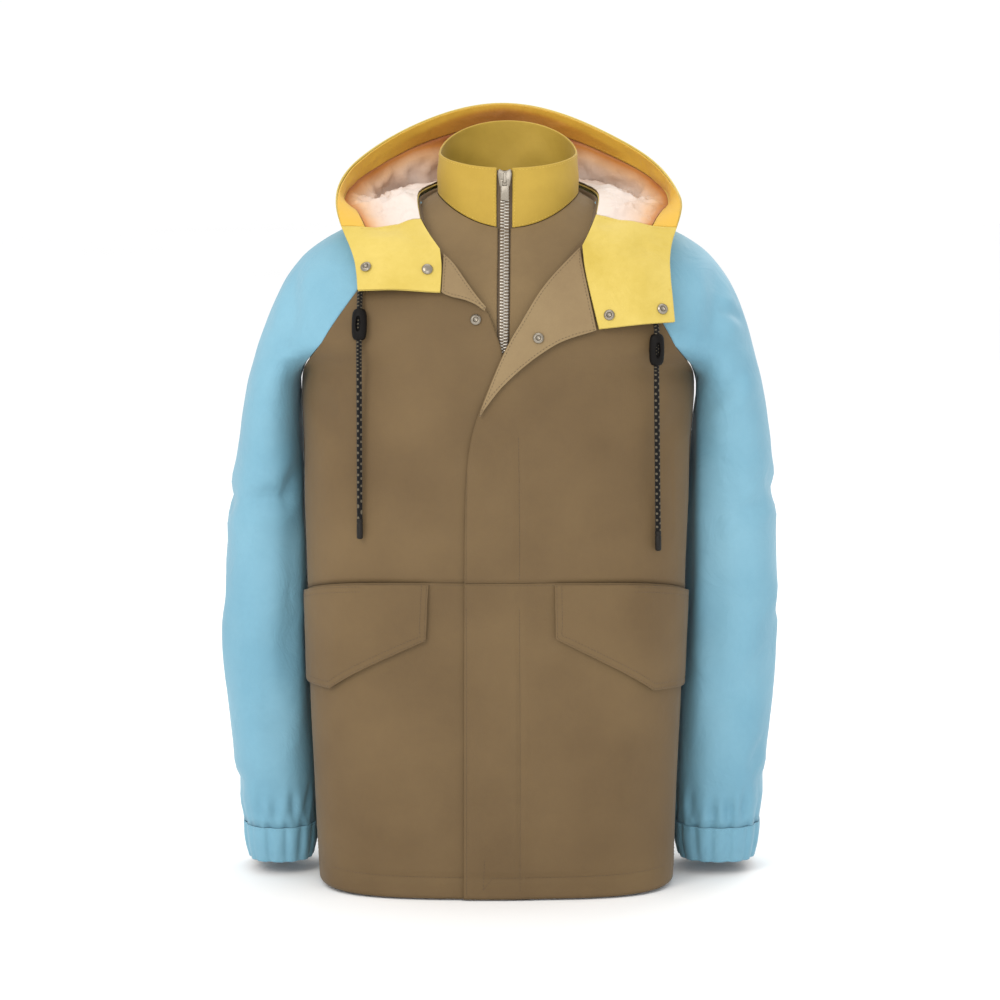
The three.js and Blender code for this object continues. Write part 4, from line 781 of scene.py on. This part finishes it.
def clothed(nodes, material, slot, levels, flat, held, rests_on, thickness_mm, group=None, swell_mm=0.8,
            pucker_mm=0.5, most_out_mm=4.0, fold_gain=1.0, crumple_mm=0, round_mm=0):
    """A cloth piece on its nodes' outer face: smoothed, creased, puckered at its seams and thickened."""
    name = nodes[0] if len(nodes) == 1 else "hood"
    thickness = thickness_mm * MM
    shape = one_sheet(nodes, thickness)
    if "sleeve" in name or "cuff" in name:
        lay_flat(shape, math.copysign(0.245, sum(v.co.x for v in shape.verts)), 0)
    else:
        lay_flat(shape, 0, 0.02)
    mesh = with_modifiers(mesh_of(name, shape), ("SUBSURF", {
        "levels": levels, "render_levels": levels, "boundary_smooth": "PRESERVE_CORNERS"}))
    places = np.array([v.co for v in mesh.vertices])
    normals = np.array([v.normal for v in mesh.vertices])
    EDGE_TREES[name] = rim_tree(mesh)
    edges = EDGE_TREES["hood" if group == "hood" else name]
    found = [edges.find(place) for place in places]
    distance, nearest = np.array([f[2] for f in found]), np.array([f[0] for f in found])
    free = 1 - np.exp(-(distance / HELD_EDGE) ** 2)
    out = swell(places, 0.075, swell_mm * MM) * free
    out += swell(places + 3.1, 0.028, swell_mm * 0.3 * MM) * free
    pucker = swell(nearest, 0.012, pucker_mm * MM)
    out += pucker * np.exp(-distance / PUCKER_REACH) * (1 - np.exp(-distance / (2 * MM)))
    if group:
        out += fold_heights(places, FOLD_LINES[group]) * free * fold_gain
    if name.startswith("front"):
        from_cord = np.linalg.norm(places[:, None, :] - CORD_LINE[None, :, :], axis=2).min(axis=1)
        out = np.where(from_cord < CORD_ROOM, np.minimum(out, 0), out)
    if "sleeve" in name or "cuff" in name:
        out += gathers(places, name.split("_")[1])
    if crumple_mm:
        inside = np.array([EDGE_TREES[name].find(place)[2] for place in places])
        out += crumpled(places, crumple_mm * MM) * (1 - np.exp(-(inside / (14 * MM)) ** 2))
    out = np.clip(out, -8 * MM, most_out_mm * MM)
    mesh.vertices.foreach_set("co", (places + normals * out[:, None]).ravel())
    mesh.update()
    # The lining and the rim's facing store their painted light here.
    if name in PAINTED_LIGHT_OF:
        PAINTED_LIGHT_OF[name](mesh)
    finish = [("SOLIDIFY", {"thickness": thickness, "offset": -1})]
    if round_mm:
        finish.append(("BEVEL", {"width": round_mm * MM, "segments": 2, "limit_method": "ANGLE",
                                 "angle_limit": math.radians(50)}))
    mesh = with_modifiers(mesh, *finish)
    mesh.shade_smooth()
    piece = placed(f"{name}_cloth", mesh, material, stands_for=nodes)
    return piece


def lining_painted_glow_and_shade(mesh):
    """Stores the lining's painted light: none at the neck, rising to painted reflected yellow and painted
    shade under the rim, most at the back.
    """
    layer = mesh.attributes.new("painted_light", "FLOAT", "POINT")
    facing = rim_tree(bpy.data.objects["hood_rim_facing_cloth"].data, edges_only=False)
    for vert in mesh.vertices:
        from_rim = facing.find(vert.co)[2]
        middle = max(0.0, 1 - abs(vert.co.x) / 0.1)
        glow = 0.62 * math.exp(-from_rim / (12 * MM)) + 0.3 * math.exp(-from_rim / (70 * MM))
        glow += 0.7 * middle * math.exp(-from_rim / (50 * MM))
        layer.data[vert.index].value = min(1.0, 0.03 + glow)


def rim_painted_shade(mesh):
    """Stores painted shade on the rim's facing: most on its inner part at the back, where the hood's shade
    falls.
    """
    layer = mesh.attributes.new("painted_light", "FLOAT", "POINT")
    for vert in mesh.vertices:
        middle = max(0.0, 1 - abs(vert.co.x - 0.005) / 0.14) ** 0.5
        inside = EDGE_TREES["hood"].find(vert.co)[2] - (15 - 8 * middle) * MM
        inner = 1 / (1 + math.exp(-inside / (1.5 * MM)))
        layer.data[vert.index].value = 0.15 + 0.7 * middle * inner


PAINTED_LIGHT_OF = {"hood_lining": lining_painted_glow_and_shade, "hood_rim_facing": rim_painted_shade}
TAPE_WIDTH = 15 * MM
TAPE_EASE = 1.035  # a tape runs over the chest's curve, so it is longer than its height


def tape_cut(node):
    """A zip tape's width, length and area as it was cut."""
    low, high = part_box(node)
    length = TAPE_EASE * (high.z - low.z)
    return TAPE_WIDTH, length, TAPE_WIDTH * length


# How thick each kind of wall is, in millimetres, and how its cloth lies.
SINGLE, THIN, DOUBLED, TAPE = 1.3, 1.0, 2.2, 0.8
FRONT = dict(group="body", most_out_mm=1.0, swell_mm=0.5, pucker_mm=0.35, fold_gain=1.8)
SLEEVE = dict(group="sleeves", swell_mm=2.0, pucker_mm=0.8, fold_gain=2.2)
HOODED = dict(group="hood", swell_mm=1.6, pucker_mm=0.8)
CHIN = dict(HOODED, round_mm=0.3)
LAPEL = dict(pucker_mm=0.4, round_mm=0.8)
FLAP = dict(swell_mm=0.7, pucker_mm=0.5, round_mm=0.7)
FLAT_TAPE = dict(swell_mm=0, pucker_mm=0.1)

# Each row: nodes, material, slot, subdivision levels, flat cut (width, length, area), how it is held, what it
# hangs from, its wall, and how the cloth lies.
CLOTHS = [
    (["front_right_upper"], shell_nylon, "shell_cloth", 3, (0.25, 0.52, 0.095), "hung", "back", SINGLE,
     FRONT),
    (["front_left_upper"], shell_nylon, "shell_cloth", 3, (0.25, 0.52, 0.095), "hung", "back", SINGLE,
     FRONT),
    (["front_right_lower"], shell_nylon, "shell_cloth", 4, (0.29, 0.36, 0.1), "hung", "front_right_upper",
     SINGLE, FRONT),
    (["front_left_lower"], shell_nylon, "shell_cloth", 4, (0.31, 0.36, 0.108), "hung", "front_left_upper",
     SINGLE, FRONT),
    (["back"], shell_nylon, "shell_cloth", 3, (0.56, 0.79, 0.43), "hung", "collar", SINGLE,
     dict(group="body", swell_mm=2.0, fold_gain=2.6)),
    (["sleeve_right"], sleeve_nylon, "sleeve_cloth", 3, (0.5, 0.74, 0.27), "hung", "back", SINGLE, SLEEVE),
    (["sleeve_left"], sleeve_nylon, "sleeve_cloth", 3, (0.5, 0.74, 0.28), "hung", "back", SINGLE, SLEEVE),
    (["cuff_right"], sleeve_nylon, "sleeve_cloth", 3, (0.34, 0.045, 0.0145), "gathered", "sleeve_right",
     SINGLE, dict(swell_mm=0.6)),
    (["cuff_left"], sleeve_nylon, "sleeve_cloth", 3, (0.34, 0.045, 0.0145), "gathered", "sleeve_left",
     SINGLE, dict(swell_mm=0.6)),
    (["collar"], collar_nylon, "collar_cloth", 3, (0.44, 0.07, 0.026), "hung", "back", DOUBLED,
     dict(group="collar", swell_mm=0.7, pucker_mm=0.4, round_mm=0.9)),
    (["inner_front_right"], inner_nylon_painted_light, "shell_cloth", 3, (0.18, 0.24, 0.03), "hung", "collar", SINGLE, {}),
    (["inner_front_left"], inner_nylon_painted_light, "shell_cloth", 3, (0.18, 0.24, 0.03), "hung", "collar", SINGLE, {}),
    (["back_neck_facing"], shell_nylon, "shell_cloth", 2, (0.26, 0.06, 0.0085), "hung", "collar", SINGLE, {}),
    (["zip_tape_right"], tape_polyester, "zip_tape", 2, tape_cut("zip_tape_right"), "hung", "collar", TAPE,
     FLAT_TAPE),
    (["zip_tape_left"], tape_polyester, "zip_tape", 2, tape_cut("zip_tape_left"), "hung", "collar", TAPE,
     FLAT_TAPE),
    (["hood_right", "hood_left"], hood_nylon, "hood_cloth", 3, (0.6, 0.36, 0.127), "hung", "collar", SINGLE,
     HOODED),
    (["chin_facing_right"], hood_nylon, "hood_cloth", 3, (0.11, 0.1, 0.0082), "hung", "hood", THIN, CHIN),
    (["chin_facing_left"], hood_nylon, "hood_cloth", 3, (0.12, 0.13, 0.0118), "hung", "hood", THIN, CHIN),
    (["hood_rim_facing"], rim_nylon, "hood_cloth", 4, (0.62, 0.03, 0.0172), "hung", "hood", THIN,
     dict(HOODED, crumple_mm=1.6)),
    (["hood_lining"], lining_taffeta, "hood_lining_cloth", 3, (0.5, 0.3, 0.09), "hung", "hood", THIN,
     dict(HOODED, crumple_mm=8)),
    (["lapel_right"], facing_nylon, "facing_cloth", 3, (0.09, 0.02, 0.0012), "folded", "front_right_upper",
     DOUBLED, LAPEL),
    (["lapel_left"], facing_nylon, "facing_cloth", 3, (0.1, 0.14, 0.0072), "folded", "front_left_upper",
     DOUBLED, LAPEL),
    (["pocket_flap_right"], shell_nylon, "shell_cloth", 3, (0.19, 0.12, 0.02), "hung", "front_right_lower",
     DOUBLED, FLAP),
    (["pocket_flap_left"], shell_nylon, "shell_cloth", 3, (0.2, 0.13, 0.0218), "hung", "front_left_lower",
     DOUBLED, FLAP),
]
cloth_pieces = {}
for nodes, material, slot, levels, flat, held, rests_on, wall_mm, lie in CLOTHS:
    resting = f"{rests_on}_cloth" if f"{rests_on}_cloth" in bpy.data.objects else rests_on
    cloth_pieces[nodes[0]] = clothed(nodes, material, slot, levels, flat, held, [resting], wall_mm, **lie)


NECK_EDGE_MM = {
    "right": [(-82, -76, -25), (-88, -62, -16), (-90, -22, 0), (-86, 15, 2), (-77, 42, 6), (-61, 66, 11)],
    "left": [(102, -72, -21), (106, -55, -12), (108, -22, 0), (104, 15, 2), (95, 42, 6), (79, 66, 11)],
}
BINDING_IN, BINDING_DOWN = 9 * MM, 17 * MM  # how far the strip runs in and down from its top edge
BINDING_WALL = 1 * MM
NECK_MIDDLE = Vector((9, 5, 0)) * MM
for side, edge in NECK_EDGE_MM.items():
    shape = bmesh.new()
    strip = bmesh.ops.create_grid(shape, x_segments=len(edge) - 1, y_segments=1, size=1)["verts"]
    rows = sorted(strip, key=lambda vert: (vert.co.y, vert.co.x))
    for vert, place in zip(rows, edge * 2):
        vert.co = Vector(place) * MM
    for vert in rows[len(edge):]:
        inward = (NECK_MIDDLE - vert.co).to_2d().normalized() * BINDING_IN
        vert.co += Vector((inward.x, inward.y, -BINDING_DOWN))
    lay_flat(shape, 0.009, 0.005)
    mesh = with_modifiers(
        mesh_of("binding", shape),
        ("SUBSURF", {"levels": 3, "render_levels": 3, "boundary_smooth": "PRESERVE_CORNERS"}),
        ("SOLIDIFY", {"thickness": BINDING_WALL, "offset": 0}))
    mesh.shade_smooth()
    binding = placed(f"neck_binding_{side}", mesh, shell_nylon)


# ---------------------------------------------------------------- zip, snaps and eyelets

def rounded_part(name, node, width_mm, segments, material, body="garment"):
    """A small metal part: the CAD form with its edges rounded over."""
    shape = node_shape(node)
    bmesh.ops.dissolve_limit(shape, angle_limit=math.radians(2), verts=shape.verts, edges=shape.edges)
    sharp = [e for e in shape.edges if len(e.link_faces) == 2 and e.calc_face_angle() > math.radians(30)]
    bmesh.ops.bevel(shape, geom=sharp, offset=width_mm * MM, segments=segments, profile=0.5,
                    affect="EDGES", material=-1, clamp_overlap=True)
    return placed(name, mesh_of(name, shape), material, body=body, stands_for=[node])


rounded_part("zip_slider_cast", "zip_slider", 0.9, 3, snap_nickel)
rounded_part("zip_bridge_cast", "zip_slider_bridge", 0.5, 3, snap_nickel)
rounded_part("zip_pull_tab_cast", "zip_pull_tab", 0.35, 2, snap_nickel, body="pull_tab")

TOOTH_PITCH = 3.3 * MM
TOOTH_SIZE = Vector((5.6, 3.0, 1.7)) * MM  # across the chain, out from it and up it
TOOTH_HEAD, TOOTH_ROOT = 1.35, 0.75  # how high its hooked end and its root are, of that
TOOTH_ASIDE = 1.9 * MM
TOOTH_SUNK = 0.5 * MM
CHAIN_END = 1 * MM  # left bare at each end
CHAIN_LINE = (3.2 * MM, 5.2 * MM)  # the chain's middle, at its bottom and its top


def surface_of(mesh):
    """A search tree of a mesh's faces."""
    return BVHTree.FromPolygons([v.co for v in mesh.vertices], [list(p.vertices) for p in mesh.polygons])


def zip_teeth():
    """Cast teeth up the chain, left and right in turn, each hooked a little over its partner."""
    shape = bmesh.new()
    chain = bpy.data.objects["zip_chain"].data
    surface = surface_of(chain)
    heights = [v.co.z for v in chain.vertices]
    base, top = min(heights), max(heights)
    for k in range(int((top - base - 2 * CHAIN_END) / (TOOTH_PITCH / 2))):
        z = base + CHAIN_END + k * TOOTH_PITCH / 2
        x = np.interp(z, (base, top), CHAIN_LINE)
        hit, normal, _, _ = surface.ray_cast(Vector((x, -1, z)), Vector((0, 1, 0)))
        if hit is None:
            continue
        side = 1 if k % 2 else -1
        tooth = bmesh.ops.create_cube(shape, size=1)["verts"]
        bmesh.ops.scale(shape, vec=TOOTH_SIZE, verts=tooth)
        for vert in tooth:
            vert.co.z *= TOOTH_HEAD if vert.co.x * side > 0 else TOOTH_ROOT
        up = (Vector((0, 0, 1)) - normal * normal.z).normalized()
        turn = Matrix((-normal.cross(up), -normal, up)).transposed().to_4x4()
        place = hit - normal * (TOOTH_SIZE.y / 2 - TOOTH_SUNK) + Vector((side * TOOTH_ASIDE, 0, 0))
        bmesh.ops.transform(shape, matrix=Matrix.Translation(place) @ turn, verts=tooth)
    bmesh.ops.bevel(shape, geom=list(shape.edges), offset=0.3 * MM, segments=1, profile=0.5,
                    affect="EDGES", material=-1)
    bmesh.ops.recalc_face_normals(shape, faces=shape.faces)
    return mesh_of("zip_teeth", shape)


placed("zip_teeth_cast", zip_teeth(), zip_nickel)
bpy.data.objects["zip_chain"].material_slots[0].material = tape_polyester

SOCKET_HOLE = 2.8 * MM  # the radius of a socket's well, which takes the painted shade
SNAP_PROFILES_MM = {
    "socket": [(0, 0.5), (2.7, 0.5), (2.9, 1.9), (3.3, 2.5), (3.9, 2.5), (4.5, 1.9), (5.3, 1.5), (5.9, 0.9),
               (5.9, 0.3), (5.5, 0), (0, 0)],
    "cap": [(0, 2.9), (2.0, 2.8), (3.8, 2.5), (5.0, 2.0), (5.8, 1.3), (6.0, 0.8), (5.9, 0.3), (5.5, 0),
            (0, 0)],
}


def disc_frame(node):
    """The middle of a disc-shaped node's back, and its outward axis."""
    corners = np.array([v.co for v in bpy.data.objects[node].data.vertices])
    middle = corners.mean(axis=0)
    axis = np.linalg.svd(corners - middle)[2][2]
    axis *= -np.sign(axis[1])
    behind = float(((corners - middle) @ axis).min())
    return Vector(middle) + Vector(axis) * behind, Vector(axis)


for node in [n for n in frame["nodes"] if n.startswith("snap_")]:
    kind = "cap" if node == "snap_chin_right_inner" else "socket"
    at, axis = disc_frame(node)
    mesh = mesh_of(node, turned(SNAP_PROFILES_MM[kind], at, axis, 32))
    # Faces inside the well take the painted shade.
    if kind == "socket":
        for face in mesh.polygons:
            off = face.center - at
            face.material_index = int((off - axis * off.dot(axis)).length < SOCKET_HOLE)
    placed(f"{node}_{kind}", mesh, snap_nickel, stands_for=[node], second=dull_nickel_painted_shade)

for side in ("right", "left"):
    bpy.data.objects[f"eyelet_{side}"].material_slots[0].material = dull_nickel_painted_shade


# ---------------------------------------------------------------- sewing

STITCH_SIZE = Vector((2.8, 0.5, 0.36)) * MM  # of a real length, in thread twice as thick so that it shows
STITCH_PITCH = 3.9 * MM
STITCH_PROUD = 0.12 * MM


def stitch_row(shape, surface, line):
    """Stitches along a line that is laid on a surface."""
    steps = np.cumsum([0] + [(b - a).length for a, b in zip(line, line[1:])])
    if steps[-1] < STITCH_PITCH:
        return
    for along in np.arange(STITCH_PITCH / 2, steps[-1], STITCH_PITCH):
        k = max(min(int(np.searchsorted(steps, along)) - 1, len(line) - 2), 0)
        share = (along - steps[k]) / max(steps[k + 1] - steps[k], 1e-9)
        hit, normal, _, _ = surface.find_nearest(line[k].lerp(line[k + 1], share))
        if hit is None:
            continue
        forward = line[k + 1] - line[k]
        forward = (forward - normal * forward.dot(normal)).normalized()
        turn = Matrix((forward, normal.cross(forward), normal)).transposed().to_4x4()
        stitch = bmesh.ops.create_icosphere(shape, subdivisions=1, radius=0.5)["verts"]
        bmesh.ops.scale(shape, vec=STITCH_SIZE, verts=stitch)
        bmesh.ops.transform(shape, matrix=Matrix.Translation(hit + normal * STITCH_PROUD) @ turn,
                            verts=stitch)


def edge_lines(node, heights, inset):
    """Lines inside a cloth's edge, along its edge places between two heights."""
    shape = outer_quads(node, 0)
    left = dict.fromkeys(
        edge for edge in shape.edges
        if edge.is_boundary and heights[0] < (edge.verts[0].co.z + edge.verts[1].co.z) / 2 < heights[1])
    lines = []
    while left:
        first = next(iter(left))
        del left[first]
        chain = list(first.verts)
        for end in (0, -1):
            while True:
                onward = next((edge for edge in chain[end].link_edges if edge in left), None)
                if onward is None:
                    break
                del left[onward]
                other = onward.other_vert(chain[end])
                chain.insert(0, other) if end == 0 else chain.append(other)
        places = []
        for vert in chain:
            i = chain.index(vert)
            before, after = chain[max(i - 1, 0)], chain[min(i + 1, len(chain) - 1)]
            tangent = (after.co - before.co).normalized()
            inward = sum((face.calc_center_median() - vert.co for face in vert.link_faces), Vector())
            inward -= tangent * inward.dot(tangent)
            places.append(vert.co + inward.normalized() * inset)
        lines.append(places)
    shape.free()
    return lines


def sew(name, rows, material):
    """One piece of sewing: rows of (node, heights, insets from the edge in millimetres)."""
    shape = bmesh.new()
    for node, heights, insets_mm in rows:
        surface = surface_of(cloth_pieces[node].data)
        for inset in insets_mm:
            for line in edge_lines(node, heights, inset * MM):
                stitch_row(shape, surface, line)
    return placed(name, mesh_of(name, shape), material)


def sew_drawn(name, rows, material):
    """One piece of sewing along lines drawn on the cloth: rows of (node, side, line in millimetres)."""
    shape = bmesh.new()
    for node, side, line in rows:
        surface = surface_of(cloth_pieces[node].data)
        stitch_row(shape, surface, laid_on(surface, side, line, 12))
    return placed(name, mesh_of(name, shape), material)


# Which of a cloth's edges are sewn, by their heights.
HEM, WAIST, FLAP_EDGE, WHOLE_EDGE = (-1, -0.70), (-0.45, -0.40), (-1, -0.413), (-1, 1)

sew("sewing_hem", [(node, HEM, [24]) for node in ("front_right_lower", "front_left_lower", "back")],
    thread_brown_painted_shade)
sew("sewing_waist", [(f"front_{side}_lower", WAIST, [2.2]) for side in ("right", "left")],
    thread_brown_painted_shade)
sew("sewing_pocket_flaps", [(f"pocket_flap_{side}", FLAP_EDGE, [2.0, 7.5]) for side in ("right", "left")],
    thread_brown_painted_shade)
sew("sewing_collar", [("collar", WHOLE_EDGE, [2.4])], thread_yellow)
sew("sewing_hood", [("chin_facing_right", WHOLE_EDGE, [3]), ("chin_facing_left", WHOLE_EDGE, [3]),
                    ("hood_rim_facing", WHOLE_EDGE, [2.5])], thread_yellow)
sew("sewing_lapels", [(f"lapel_{side}", WHOLE_EDGE, [2.5]) for side in ("right", "left")],
    thread_brown_painted_shade)
sew("sewing_cuffs", [(f"cuff_{side}", WHOLE_EDGE, [2.4]) for side in ("right", "left")],
    thread_blue)
sew_drawn("sewing_placket", [
    ("front_left_upper", "front", [(20, -250), (21, -340), (21, -430)]),
    ("front_left_lower", "front", [(21, -436), (22, -590), (22, -752)]),
    ("front_left_upper", "front", [(-35.5, -268), (-36.5, -340), (-36.5, -430)]),
    ("front_left_lower", "front", [(-36.5, -436), (-36.5, -590), (-36.5, -756)]),
], thread_brown_painted_shade)
sew_drawn("sewing_hood_seam", [
    ("hood_right", "back", [(6.4, 84), (4.2, 20), (3.6, -50)]),
    ("hood_right", "back", [(11.6, 84), (9.4, 20), (8.6, -50)]),
], thread_yellow)


# ---------------------------------------------------------------- floor and light

FLOOR_RADIUS = 14
FLOOR_GAP = 2 * MM

floor_shape = bmesh.new()
bmesh.ops.create_circle(floor_shape, cap_ends=True, radius=FLOOR_RADIUS, segments=96)
bmesh.ops.translate(floor_shape, vec=(0, 0, cad_box[0].z - FLOOR_GAP), verts=floor_shape.verts)
floor_material, floor_tree, floor_output = new_material("studio_floor_white")
floor_place = add_node(floor_tree, "ShaderNodeTexCoord")
floor_cloud = add_node(floor_tree, "ShaderNodeTexNoise", {
    "Vector": floor_place.outputs["Object"], "Scale": 0.6})
floor_colour = add_node(floor_tree, "ShaderNodeValToRGB", {"Fac": floor_cloud.outputs["Fac"]},
                        stops=[(0.3, "#fcfcfc"), (0.7, "#ffffff")])
finish_material(floor_tree, floor_output, floor_colour, Roughness=0.9)
floor = bpy.data.objects.new("floor", mesh_of("floor", floor_shape, smooth=False))
floor.data.materials.append(floor_material)
scene.collection.objects.link(floor)


def soft_light(name, place, target, size, power, colour):
    """A large rectangular softbox turned to a target."""
    data = bpy.data.lights.new(name, "AREA")
    data.shape, data.size, data.size_y, data.energy = "RECTANGLE", size, size, power
    data.color = linear(colour)[:3]
    light = bpy.data.objects.new(name, data)
    light.location = place
    light.rotation_euler = (Vector(target) - Vector(place)).to_track_quat("-Z", "Y").to_euler()
    scene.collection.objects.link(light)


soft_light("key", (-1.9, -2.6, 1.7), (0, 0, -0.3), 1.6, 46, "#fffaf2")
soft_light("front", (0.2, -3.4, 0.3), (0, 0, -0.35), 1.2, 16, "#fbfcff")
soft_light("rear", (1.9, 2.6, 1.5), (0, 0, -0.3), 1.6, 30, "#fffdf8")
soft_light("top", (0, 0.4, 2.4), (0, 0, -0.2), 2.0, 14, "#ffffff")

world = bpy.data.worlds.new("studio")
world.use_nodes = True
world.node_tree.nodes["Background"].inputs["Color"].default_value = linear("#ffffff")
world.node_tree.nodes["Background"].inputs["Strength"].default_value = 1.02
scene.world = world
scene.view_settings.view_transform = "Standard"
